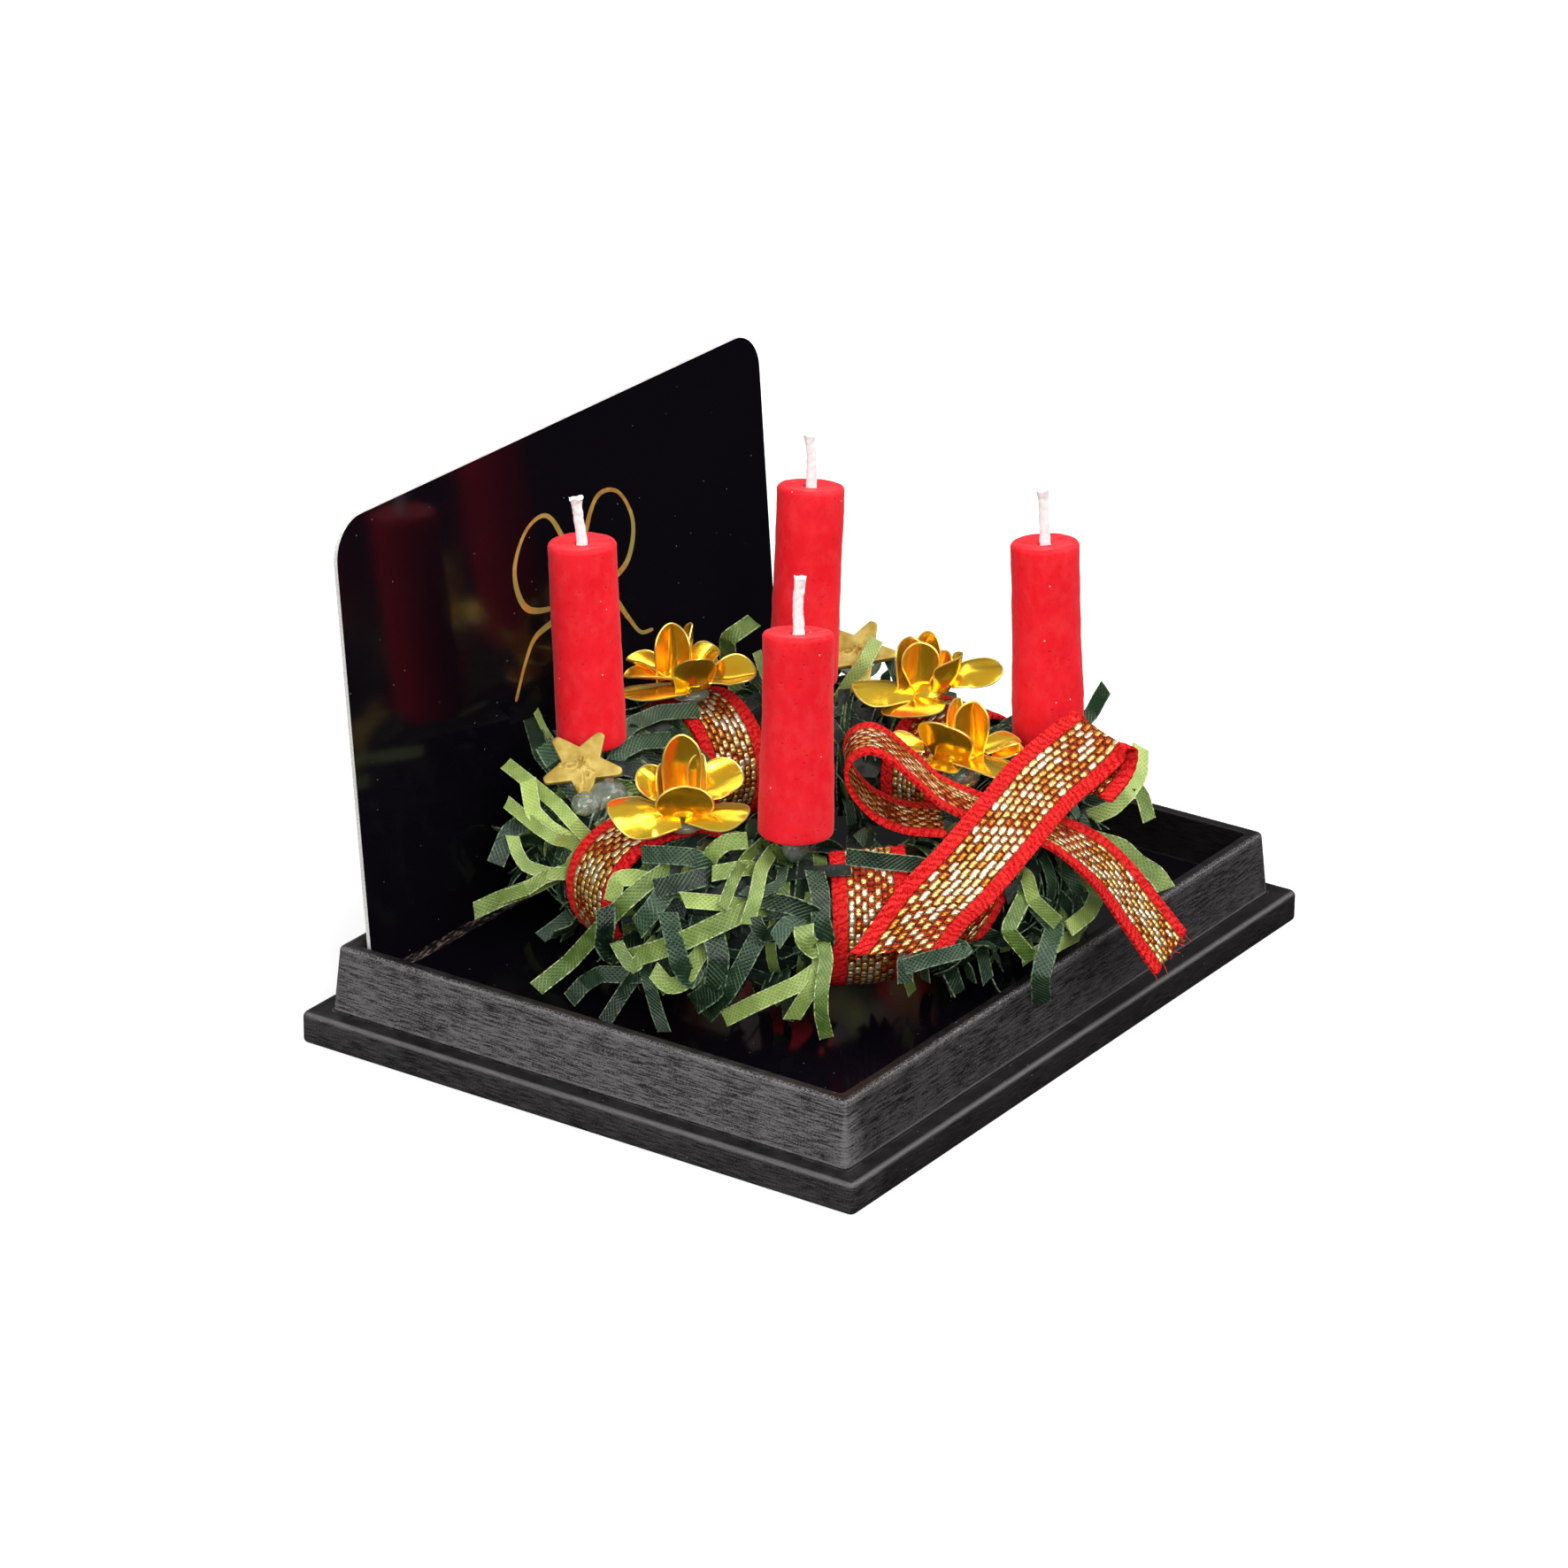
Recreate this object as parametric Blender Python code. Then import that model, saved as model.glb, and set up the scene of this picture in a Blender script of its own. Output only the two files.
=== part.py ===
"""Miniature advent wreath on a display tray.

A ring of foil-strip garland wound on a wire carries four candles, four foil flowers, two foil stars,
ribbon wraps and a bow. It lies in a black tray on the floor panel of a folded card, whose back panel
stands behind it. The origin is the middle of the tray's underside, +Z is up and the card is at +Y.
"""

import math
import random

import bmesh
import bpy
from mathutils import Matrix, Vector

MM = 0.001
UP = Vector((0.0, 0.0, 1.0))

# Display tray
PLATE_LENGTH = 60.0 * MM
PLATE_DEPTH = 48.0 * MM
PLATE_HEIGHT = 2.4 * MM
PLATE_EDGE_RADIUS = 0.7 * MM
PLATE_CORNER_RADIUS = 0.5 * MM
RIM_TOP = 7.36 * MM
RIM_FOOT_INSET = 1.6 * MM
RIM_TOP_INSET = 2.0 * MM
RIM_THICKNESS = 1.0 * MM
RIM_EDGE_RADIUS = 0.18 * MM
RECESS_FLOOR = 3.85 * MM

# Backdrop card
CARD_THICKNESS = 0.32 * MM
CARD_WIDTH = 52.0 * MM
CARD_LEAN = math.radians(4.3)
CARD_TOP = 38.8 * MM
CARD_CORNER_RADIUS = 3.0 * MM
CARD_FLOOR_TOP = 4.25 * MM
CARD_FOLD_Y = 20.38 * MM
CARD_FRONT_Y = -20.7 * MM

# Garland ring
RING_RADIUS = 15.4 * MM
RING_HEIGHT = 12.2 * MM
CORE_RADIUS = 4.4 * MM
CORE_SIDES = 12
WIRE_RADIUS = 0.6 * MM
WIRE_BORE_RADIUS = 0.78 * MM
WIRE_SIDES = 6
RING_STEP = math.radians(7.5)
SPRAY_GAP = 0.12 * MM
HOLE_RADIUS = 5.0 * MM

# Leaf strips of the garland
LEAF_WIDTH = 1.5 * MM
LEAF_THICKNESS = 0.6 * MM
LEAF_SINK = 0.9 * MM
LEAF_GAP = 0.15 * MM
LEAF_STEPS = 2
LEAF_SPACING = 1.7 * MM
LEAF_TRIES = 600
LIGHT_SHARE = 0.42
SPRAY_TRIES = 12
SHORTEST_EDGE = 0.0005 * MM

# Ribbon
RIBBON_WIDTH = 5.5 * MM
RIBBON_THICKNESS = 0.4 * MM
WRAP_RADIUS = 4.7 * MM
WRAP_STEPS = 20

# Candles
CANDLE_RADIUS = 2.5 * MM
CANDLE_TOP = 34.0 * MM
CANDLE_BORE_RADIUS = 0.6 * MM
CANDLE_BORE_FLOOR = 1.0 * MM
WICK_RADIUS = 0.48 * MM

# Foil flowers and stars
FLOWER_BASE_RADIUS = 1.7 * MM
FOIL_THICKNESS = 0.6 * MM
PETALS = 5
STAR_RADIUS = 3.0 * MM
STAR_THICKNESS = 0.5 * MM
GLUE_CLEARANCE = 0.08 * MM

# Where each wrap crosses the ring, in degrees round it; how far its outer side and its top are shifted
# sideways; and its first and last angle round the tube, which are equal for a closed band.
WRAPS = {
    "left": (169.0, -2.2 * MM, 0.0, 0.0, 0.0),
    "back": (68.0, 0.3 * MM, 0.0, 0.0, 0.0),
    "right": (-10.0, 0.0, 0.0, 0.0, 0.0),
    "front": (-131.0, -0.9 * MM, 0.0, -105.0, 88.0),
    "bow_end": (-113.3, 0.0, 4.3 * MM, -16.0, 52.0),
}

# Candles: top in plan, how far the foot stands off to the photo's right, height of the foot, radius at
# the foot, slopes of the cut top face in X and Y, and how much wick shows
CANDLES = {
    "left": (Vector((-8.4, 14.4, 0.0)) * MM, 0.6 * MM, 18.5 * MM, 2.55 * MM, (-0.05, -0.03), 3.3 * MM),
    "back": (Vector((10.7, 7.5, 0.0)) * MM, -0.5 * MM, 18.5 * MM, 2.57 * MM, (-0.11, -0.07), 3.9 * MM),
    "right": (Vector((10.8, -12.8, 0.0)) * MM, 0.6 * MM, 18.5 * MM, 2.62 * MM, (-0.06, -0.05), 3.9 * MM),
    "front": (Vector((-13.8, -8.2, 0.0)) * MM, -0.1 * MM, 18.9 * MM, 2.67 * MM, (-0.15, -0.1), 4.0 * MM),
}
FOOT_DRIFT = Vector((0.567, -0.823, 0.0))

# Flowers: middle of the spread petals, turn in degrees, petal reach
FLOWERS = {
    "left": (Vector((-15.4, 0.5, 19.1)) * MM, 20.0, 5.0 * MM),
    "back": (Vector((4.5, 14.0, 19.1)) * MM, 50.0, 5.0 * MM),
    "right": (Vector((13.3, -1.2, 19.1)) * MM, 5.0, 5.0 * MM),
    "front": (Vector((4.0, -10.3, 19.3)) * MM, 35.0, 4.6 * MM),
}

# Stars: middle, the way each faces, turn in degrees
STARS = {
    "left": (Vector((-12.85, 11.3, 18.8)) * MM, Vector((-0.53, -0.36, 0.77)), 22.0),
    "back": (Vector((15.95, 6.7, 19.2)) * MM, Vector((-0.45, -0.3, 0.84)), 10.0),
}

# Bow ribbons: centres and sideways directions at hand-set stations along each
BOW_FRONT = (
    ((-14.3, -17.2, 12.1), (-0.25, 0.79, 0.55)),
    ((-11.4, -18.0, 14.6), (-0.25, 0.79, 0.55)),
    ((-8.4, -18.9, 16.5), (-0.25, 0.79, 0.55)),
    ((-4.4, -19.3, 18.4), (-0.25, 0.79, 0.55)),
    ((1.1, -18.8, 19.7), (-0.25, 0.79, 0.55)),
    ((5.2, -19.0, 20.6), (-0.25, 0.79, 0.55)),
    ((7.4, -19.2, 21.1), (-0.25, 0.79, 0.55)),
    ((8.6, -19.7, 20.7), (-0.27, 0.80, 0.53)),
    ((8.7, -20.1, 19.6), (-0.30, 0.82, 0.47)),
    ((6.8, -20.3, 18.8), (-0.25, 0.86, 0.43)),
    ((3.6, -19.7, 18.4), (-0.20, 0.86, 0.45)),
)
BOW_FRONT_SLANT = 2.3 * MM
BOW_BACK = (
    ((6.9, -26.7, 6.3), (0.98, 0.21, 0.0)),
    ((5.9, -24.6, 9.6), (0.97, 0.23, 0.0)),
    ((4.6, -22.7, 12.8), (0.96, 0.27, 0.0)),
    ((2.6, -20.9, 15.2), (0.93, 0.38, 0.0)),
    ((0.6, -18.8, 16.9), (0.87, 0.50, 0.0)),
    ((-1.4, -15.6, 18.1), (0.83, 0.56, 0.0)),
    ((-3.6, -13.7, 19.7), (0.82, 0.57, 0.0)),
    ((-5.3, -12.4, 21.8), (0.82, 0.57, 0.0)),
    ((-6.4, -11.2, 23.4), (0.82, 0.57, 0.0)),
    ((-7.3, -10.0, 24.2), (0.82, 0.57, 0.0)),
    ((-8.0, -8.9, 23.7), (0.82, 0.57, 0.0)),
    ((-8.2, -8.5, 22.4), (0.82, 0.57, 0.0)),
    ((-7.9, -8.9, 20.8), (0.82, 0.57, 0.0)),
    ((-7.1, -10.2, 19.1), (0.82, 0.57, 0.0)),
    ((-5.8, -11.9, 18.1), (0.82, 0.57, 0.0)),
    ((-4.1, -14.0, 17.75), (0.82, 0.57, 0.0)),
)
BOW_STEPS = 3

# Sprays of the garland: first and last angle round the ring, and the number of leaf strips
SPRAYS = (
    (-131.0, -110.0, 8),
    (-110.0, -58.0, 20),
    (-58.0, -10.0, 20),
    (-10.0, 29.0, 17),
    (29.0, 68.0, 17),
    (68.0, 116.0, 19),
    (116.0, 166.0, 21),
    (166.0, 198.0, 16),
    (198.0, 229.0, 18),
)


def new_material(name, colour, roughness, metallic=0.0):
    material = bpy.data.materials.new(name)
    material.use_nodes = True
    material.diffuse_color = (*colour, 1.0)
    shader = material.node_tree.nodes["Principled BSDF"]
    shader.inputs["Base Color"].default_value = (*colour, 1.0)
    shader.inputs["Roughness"].default_value = roughness
    shader.inputs["Metallic"].default_value = metallic
    return material


def add_object(name, bm, materials, smooth_angle=35.0):
    """Close a bmesh into a named object whose faces point out."""
    bmesh.ops.recalc_face_normals(bm, faces=bm.faces)
    mesh = bpy.data.meshes.new(name)
    bm.to_mesh(mesh)
    bm.free()
    for material in materials:
        mesh.materials.append(material)
    mesh.shade_smooth()
    mesh.set_sharp_from_angle(angle=math.radians(smooth_angle))
    piece = bpy.data.objects.new(name, mesh)
    bpy.context.scene.collection.objects.link(piece)
    return piece


def loft(bm, rings, closed=False):
    """Skin a list of rings of points, capped at both ends unless the rings run in a circle."""
    rows = [[bm.verts.new(point) for point in ring] for ring in rings]
    following = rows[1:] + rows[:1] if closed else rows[1:]
    for row, after in zip(rows, following):
        for i in range(len(row)):
            j = (i + 1) % len(row)
            bm.faces.new((row[i], row[j], after[j], after[i]))
    if not closed:
        bm.faces.new(rows[0][::-1])
        bm.faces.new(rows[-1])


def turn(bm, profile, steps):
    """Spin a profile of (radius, height) pairs, whose ends lie on the axis, about +Z."""
    verts = [bm.verts.new((radius, 0.0, height)) for radius, height in profile]
    edges = [bm.edges.new(pair) for pair in zip(verts, verts[1:])]
    bmesh.ops.spin(bm, geom=verts + edges, axis=UP, cent=(0.0, 0.0, 0.0), dvec=(0.0, 0.0, 0.0),
                   angle=math.tau, steps=steps, use_merge=True, use_duplicate=False)
    bmesh.ops.remove_doubles(bm, verts=bm.verts, dist=0.001 * MM)


def aim(direction, spin_degrees=0.0):
    """Rotation that takes +Z to a direction after a turn about +Z."""
    tilt = UP.rotation_difference(direction.normalized()).to_matrix().to_4x4()
    return tilt @ Matrix.Rotation(math.radians(spin_degrees), 4, "Z")


def smooth_path(points, steps):
    """Catmull-Rom curve through points, with a number of steps between each two."""
    points = [Vector(point) for point in points]
    padded = [2 * points[0] - points[1], *points, 2 * points[-1] - points[-2]]
    path = []
    for a, b, c, d in zip(padded, padded[1:], padded[2:], padded[3:]):
        for k in range(steps):
            t = k / steps
            path.append(0.5 * (2 * b + (c - a) * t + (2 * a - 5 * b + 4 * c - d) * t ** 2
                               + (3 * b - a - 3 * c + d) * t ** 3))
    path.append(points[-1])
    return path


def strip_rings(centres, sides, width, thickness, slant=0.0):
    """Four-cornered sections of a flat strip along its centres; a slant cuts its first end askew."""
    eased = 8
    rings = []
    for i, (centre, side) in enumerate(zip(centres, sides)):
        run = (centres[min(i + 1, len(centres) - 1)] - centres[max(i - 1, 0)]).normalized()
        side = side.normalized()
        face = run.cross(side).normalized()
        across = side * (width / 2)
        across -= run * slant * max(0.0, 1.0 - i / eased)
        through = face * (thickness / 2)
        rings.append([centre - across - through, centre + across - through,
                      centre + across + through, centre - across + through])
    return rings


# Places on the ring

def ring_frame(theta):
    """Outward and along directions of the ring at an angle."""
    outward = Vector((math.cos(theta), math.sin(theta), 0.0))
    along = Vector((-math.sin(theta), math.cos(theta), 0.0))
    return outward, along


def tube_point(theta, phi, radius):
    """Point at a radius from the ring's tube axis; phi is 0 on the outer side and 90 degrees on top."""
    outward, _ = ring_frame(theta)
    reach = RING_RADIUS + radius * math.cos(phi)
    return outward * reach + UP * (RING_HEIGHT + radius * math.sin(phi))


def tube_distance(point):
    """Distance of a point from the ring's tube axis."""
    return math.hypot(math.hypot(point.x, point.y) - RING_RADIUS, point.z - RING_HEIGHT)


def wrap_angle(name, phi, offset):
    """Ring angle of a wrap's line at a sideways offset, where the tube angle is phi."""
    degrees, lean, swirl = WRAPS[name][:3]
    reach = RING_RADIUS + WRAP_RADIUS * math.cos(phi)
    return math.radians(degrees) + (offset + lean * math.cos(phi) + swirl * math.sin(phi)) / reach


def candle_foot(name):
    top, drift, foot = CANDLES[name][:3]
    return top + FOOT_DRIFT * drift + UP * foot


def candle_axis(name):
    return (CANDLES[name][0] + UP * CANDLE_TOP - candle_foot(name)).normalized()


# Tray and card

def rectangle_ring(inset, height):
    """Rounded rectangle of the tray's outline, moved in by an inset."""
    radius = max(PLATE_CORNER_RADIUS - 0.15 * inset, 0.2 * MM)
    half_x = PLATE_LENGTH / 2 - inset - radius
    half_y = PLATE_DEPTH / 2 - inset - radius
    corners = ((1, 1, 0), (-1, 1, 90), (-1, -1, 180), (1, -1, 270))
    ring = []
    for sign_x, sign_y, start in corners:
        for k in range(4):
            angle = math.radians(start + 30 * k)
            ring.append((sign_x * half_x + radius * math.cos(angle),
                         sign_y * half_y + radius * math.sin(angle), height))
    return ring


def build_tray(material):
    """Flange plate with a rounded upper edge, raised rim with a draft, and a flat recess."""
    rings = [rectangle_ring(0.12 * MM, 0.0), rectangle_ring(0.0, 0.12 * MM)]
    for k in range(4):
        angle = math.radians(30 * k)
        rings.append(rectangle_ring(PLATE_EDGE_RADIUS * (1 - math.cos(angle)),
                                    PLATE_HEIGHT - PLATE_EDGE_RADIUS * (1 - math.sin(angle))))
    rings.append(rectangle_ring(RIM_FOOT_INSET, PLATE_HEIGHT))
    rings.append(rectangle_ring(RIM_TOP_INSET, RIM_TOP - RIM_EDGE_RADIUS))
    rings.append(rectangle_ring(RIM_TOP_INSET + RIM_EDGE_RADIUS, RIM_TOP))
    inner = RIM_TOP_INSET + RIM_THICKNESS
    rings.append(rectangle_ring(inner - RIM_EDGE_RADIUS, RIM_TOP))
    rings.append(rectangle_ring(inner, RIM_TOP - RIM_EDGE_RADIUS))
    rings.append(rectangle_ring(inner, RECESS_FLOOR))
    bm = bmesh.new()
    loft(bm, rings)
    add_object("display_tray", bm, [material])


def card_point(x, along, behind):
    """Point of the card: along is the way up its back panel, or below zero the way to its front edge."""
    if along < 0.0:
        return Vector((x, CARD_FOLD_Y + along, CARD_FLOOR_TOP - behind))
    rise = Vector((0.0, math.sin(CARD_LEAN), math.cos(CARD_LEAN)))
    back = Vector((0.0, math.cos(CARD_LEAN), -math.sin(CARD_LEAN)))
    fold = Vector((x, CARD_FOLD_Y, CARD_FLOOR_TOP))
    if along == 0.0:
        mitre = (back - UP).normalized()
        return fold + mitre * behind / mitre.dot(back)
    return fold + rise * along + back * behind


def build_card(material):
    """Folded card: a floor panel and a back panel with rounded top corners."""
    half = CARD_WIDTH / 2
    panel = (CARD_TOP - CARD_FLOOR_TOP) / math.cos(CARD_LEAN)
    floor_length = CARD_FOLD_Y - CARD_FRONT_Y
    corner = [(CARD_CORNER_RADIUS * math.cos(math.radians(a)), CARD_CORNER_RADIUS * math.sin(math.radians(a)))
              for a in range(0, 91, 15)]
    side = half - CARD_CORNER_RADIUS
    shoulder = panel - CARD_CORNER_RADIUS
    top = [(side + dx, shoulder + dy) for dx, dy in corner]
    top += [(-side - dx, shoulder + dy) for dx, dy in reversed(corner)]
    floor_outline = [(-half, -floor_length), (half, -floor_length)]
    fold_outline = [(half, 0.0), (-half, 0.0)]
    bm = bmesh.new()
    faces = []
    for behind in (0.0, CARD_THICKNESS):
        floor = [bm.verts.new(card_point(x, s, behind)) for x, s in floor_outline]
        fold = [bm.verts.new(card_point(x, s, behind)) for x, s in fold_outline]
        crown = [bm.verts.new(card_point(x, s, behind)) for x, s in top]
        bm.faces.new((*floor, *fold))
        bm.faces.new((fold[1], fold[0], *crown))
        faces.append((floor, fold, crown))
    edges = []
    for floor, fold, crown in faces:
        edges.append([fold[1], *floor, fold[0], *crown])
    front, rear = edges
    for i in range(len(front)):
        j = (i + 1) % len(front)
        bm.faces.new((front[i], front[j], rear[j], rear[i]))
    add_object("backdrop_card", bm, [material], smooth_angle=20.0)


# Garland

def in_wedge(point, first, last):
    """True where a point lies between the end faces of its spray, with a margin."""
    radius = math.hypot(point.x, point.y)
    middle = (first + last) / 2
    swing = (math.atan2(point.y, point.x) - middle + math.pi) % math.tau - math.pi
    room = (last - first) / 2 - abs(swing)
    return radius > HOLE_RADIUS and radius * math.sin(min(room, 1.5)) > LEAF_GAP


def leaf_is_free(point):
    """True where a leaf strip may pass without touching another piece."""
    x, y, z = point
    inner_x = PLATE_LENGTH / 2 - RIM_TOP_INSET - RIM_THICKNESS
    inner_y = PLATE_DEPTH / 2 - RIM_TOP_INSET - RIM_THICKNESS
    if z < RIM_TOP + LEAF_GAP and (abs(x) > inner_x - LEAF_GAP or y < -inner_y + LEAF_GAP):
        return False
    if y > CARD_FOLD_Y - 2 * LEAF_GAP:
        return False
    return all(test(point) for test in (clear_of_wraps, clear_of_candles, clear_of_foil, clear_of_bow))


def clear_of_wraps(point):
    radius = math.hypot(point.x, point.y)
    theta = math.atan2(point.y, point.x)
    if tube_distance(point) > WRAP_RADIUS + RIBBON_THICKNESS + 2.0 * MM:
        return True
    phi = math.atan2(point.z - RING_HEIGHT, radius - RING_RADIUS)
    for name in WRAPS:
        swing = (theta - wrap_angle(name, phi, 0.0) + math.pi) % math.tau - math.pi
        if abs(swing) * radius < RIBBON_WIDTH / 2 + 3 * LEAF_GAP:
            return False
    return True


def clear_of_candles(point):
    for name in CANDLES:
        offset = point - candle_foot(name)
        height = offset.dot(candle_axis(name))
        distance = (offset - candle_axis(name) * height).length
        if point.z > RING_HEIGHT + CORE_RADIUS - LEAF_GAP and distance < CANDLE_RADIUS + 3 * LEAF_GAP:
            return False
    return True


def clear_of_foil(point):
    for middle, _, reach in FLOWERS.values():
        offset = point - middle
        if math.hypot(offset.x, offset.y) < reach + 2 * LEAF_GAP and offset.z > -1.3 * MM:
            return False
        if math.hypot(offset.x, offset.y) < FLOWER_BASE_RADIUS + 3 * LEAF_GAP and offset.z > -3.0 * MM:
            return False
    return all((point - middle).length > STAR_RADIUS + 3 * LEAF_GAP for middle, _, _ in STARS.values())


def clear_of_bow(point):
    reach = RIBBON_WIDTH / 2 + 3 * LEAF_GAP
    return all((point - Vector(centre) * MM).length > reach for centre, _ in BOW_FRONT + BOW_BACK)


def leaf_path(draw, theta, phi):
    """Centres and side directions of one curling leaf strip that grows from the core."""
    outward, along = ring_frame(theta)
    normal = outward * math.cos(phi) + UP * math.sin(phi)
    inner = math.cos(phi) < -0.2
    length = draw.uniform(2.6, 4.2) * MM if inner else draw.uniform(4.5, 7.5) * MM
    lean = draw.uniform(-1.0, 1.0)
    lift = draw.uniform(-0.9, 0.5)
    root = tube_point(theta, phi, CORE_RADIUS - LEAF_SINK)
    knee = root + (normal + along * lean * 0.5) * (length * 0.5 + LEAF_SINK)
    tip = knee + (normal * 0.7 + along * lean * 1.1 + UP * lift) * length * 0.6
    roll = draw.uniform(-0.7, 0.7)
    side = along * math.cos(roll) + normal.cross(along) * math.sin(roll)
    centres = []
    for k in range(LEAF_STEPS + 1):
        t = k / LEAF_STEPS
        centres.append(root * (1 - t) ** 2 + knee * 2 * t * (1 - t) + tip * t ** 2)
    sides = []
    for i, centre in enumerate(centres):
        run = centres[min(i + 1, LEAF_STEPS)] - centres[max(i - 1, 0)]
        run.normalize()
        sides.append((side - run * side.dot(run)).normalized())
        half_height = abs(sides[i].z) * LEAF_WIDTH / 2 + LEAF_THICKNESS / 2
        lowest = CARD_FLOOR_TOP + LEAF_GAP + half_height
        centre.z = max(centre.z, lowest + draw.uniform(0.0, 0.15) * MM)
    return centres, sides


def grow_leaves(draw, first, last, count):
    """Leaf strips of one spray, each clear of the other pieces and rooted apart from the last ones."""
    leaves = []
    roots = []
    for _ in range(LEAF_TRIES):
        theta = draw.uniform(first, last)
        phi = draw.choice((draw.uniform(-2.0, 1.1), draw.uniform(-2.0, 1.1), draw.uniform(1.1, 3.6)))
        centres, sides = leaf_path(draw, theta, phi)
        rings = strip_rings(centres, sides, LEAF_WIDTH, LEAF_THICKNESS)
        points = [a.lerp(b, k / 5) for ring, after in zip(rings, rings[1:]) for a, b in zip(ring, after)
                  for k in range(1, 6)]
        points = [point for point in points if tube_distance(point) > CORE_RADIUS]
        spot = tube_point(theta, phi, CORE_RADIUS)
        apart = all((spot - other).length > LEAF_SPACING for other in roots)
        inside = all(in_wedge(point, first, last) for point in points + rings[0])
        if apart and inside and all(leaf_is_free(point) for point in points):
            leaves.append(rings)
            roots.append(spot)
        if len(leaves) == count:
            break
    return leaves


def core_rings(first, last):
    """Outer and bore sections along a spray's core, as tubes that end at flat faces."""
    steps = max(2, round((last - first) / RING_STEP))
    outer, bore = [], []
    for k in range(steps + 1):
        theta = first + (last - first) * k / steps
        outer.append([tube_point(theta, math.tau * i / CORE_SIDES, CORE_RADIUS)
                      for i in range(CORE_SIDES)])
        bore.append([tube_point(theta, math.tau * i / WIRE_SIDES, WIRE_BORE_RADIUS)
                     for i in range(WIRE_SIDES)])
    return outer, bore


def close_end(bm, outer, bore):
    """Close the flat face between a core's outline and its bore, two outer sides to each bore side."""
    for i in range(WIRE_SIDES):
        j = (i + 1) % WIRE_SIDES
        after = (2 * i + 2) % CORE_SIDES
        bm.faces.new((outer[2 * i], outer[2 * i + 1], outer[after], bore[j], bore[i]))


def build_core(bm, first, last):
    outer, bore = core_rings(first, last)
    tubes = []
    for rings in (outer, bore):
        rows = [[bm.verts.new(point) for point in ring] for ring in rings]
        for row, after in zip(rows, rows[1:]):
            for i in range(len(row)):
                j = (i + 1) % len(row)
                bm.faces.new((row[i], row[j], after[j], after[i]))
        tubes.append(rows)
    for end in (0, -1):
        close_end(bm, tubes[0][end], tubes[1][end])


def fill_pockets(piece):
    """Make a fused solid whole where crossing parts close off a pocket inside it."""
    bm = bmesh.new()
    bm.from_mesh(piece.data)
    waiting = set(bm.verts)
    while waiting:
        shell = {waiting.pop()}
        border = list(shell)
        while border:
            vert = border.pop()
            for edge in vert.link_edges:
                other = edge.other_vert(vert)
                if other in waiting:
                    waiting.discard(other)
                    shell.add(other)
                    border.append(other)
        volume = 0.0
        for face in {face for vert in shell for face in vert.link_faces}:
            corners = [corner.vert.co for corner in face.loops]
            for b, c in zip(corners[1:], corners[2:]):
                volume += corners[0].dot(b.cross(c))
        if volume < 0.0:
            bmesh.ops.delete(bm, geom=list(shell), context="VERTS")
    bm.to_mesh(piece.data)
    bm.free()


def fuse(piece, parts):
    """Join solids to a piece by one union, and drop them."""
    group = bpy.data.collections.new(piece.name + "_parts")
    bpy.context.scene.collection.children.link(group)
    for part in parts:
        bpy.context.scene.collection.objects.unlink(part)
        group.objects.link(part)
    union = piece.modifiers.new("union", "BOOLEAN")
    union.operation = "UNION"
    union.operand_type = "COLLECTION"
    union.collection = group
    union.solver = "EXACT"
    with bpy.context.temp_override(object=piece, active_object=piece, selected_objects=[piece]):
        bpy.ops.object.modifier_apply(modifier=union.name)
    for part in parts:
        bpy.data.objects.remove(part)
    bpy.data.collections.remove(group)
    fill_pockets(piece)


def is_clean(mesh):
    """True where every edge has two faces and none is tiny."""
    bm = bmesh.new()
    bm.from_mesh(mesh)
    clean = all(len(edge.link_faces) == 2 and edge.calc_length() > SHORTEST_EDGE for edge in bm.edges)
    bm.free()
    return clean


def build_spray(number, limits, materials):
    """One stretch of garland: a bored core with its leaf strips fused to it, drawn again until clean."""
    first, last, count = limits
    half_gap = SPRAY_GAP / 2 / RING_RADIUS
    first = math.radians(first) + half_gap
    last = math.radians(last) - half_gap
    for attempt in range(SPRAY_TRIES):
        bm = bmesh.new()
        build_core(bm, first, last)
        core = add_object(f"foliage_{number}", bm, materials)
        draw = random.Random(40 + number + 20 * attempt)
        leaves = []
        for rings in grow_leaves(draw, first, last, count):
            bm = bmesh.new()
            loft(bm, rings)
            shade = 1 if draw.random() < LIGHT_SHARE else 0
            for face in bm.faces:
                face.material_index = shade
            leaves.append(add_object("leaf", bm, materials))
        fuse(core, leaves)
        if is_clean(core.data):
            return
        bpy.data.objects.remove(core)
    raise RuntimeError(f"no clean union for foliage_{number}")


def build_wire(material):
    steps = round(math.tau / RING_STEP)
    rings = [[tube_point(math.tau * k / steps, math.tau * i / WIRE_SIDES, WIRE_RADIUS)
              for i in range(WIRE_SIDES)] for k in range(steps)]
    bm = bmesh.new()
    loft(bm, rings, closed=True)
    add_object("wire_ring", bm, [material])


# Ribbon

def wrap_ring(name, phi):
    """Six-cornered section of a wrap that follows the ring's curve."""
    offsets = (-RIBBON_WIDTH / 2, 0.0, RIBBON_WIDTH / 2)
    outer = WRAP_RADIUS + RIBBON_THICKNESS
    inside = [tube_point(wrap_angle(name, phi, offset), phi, WRAP_RADIUS) for offset in offsets]
    outside = [tube_point(wrap_angle(name, phi, offset), phi, outer) for offset in reversed(offsets)]
    return inside + outside


def build_wrap(name, material):
    start, end = (math.radians(value) for value in WRAPS[name][3:])
    closed = start == end
    sweep = math.tau if closed else end - start
    steps = max(4, round(WRAP_STEPS * sweep / math.tau))
    stations = steps if closed else steps + 1
    rings = [wrap_ring(name, start + sweep * k / steps) for k in range(stations)]
    bm = bmesh.new()
    loft(bm, rings, closed=closed)
    add_object(f"ribbon_wrap_{name}", bm, [material])


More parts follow.
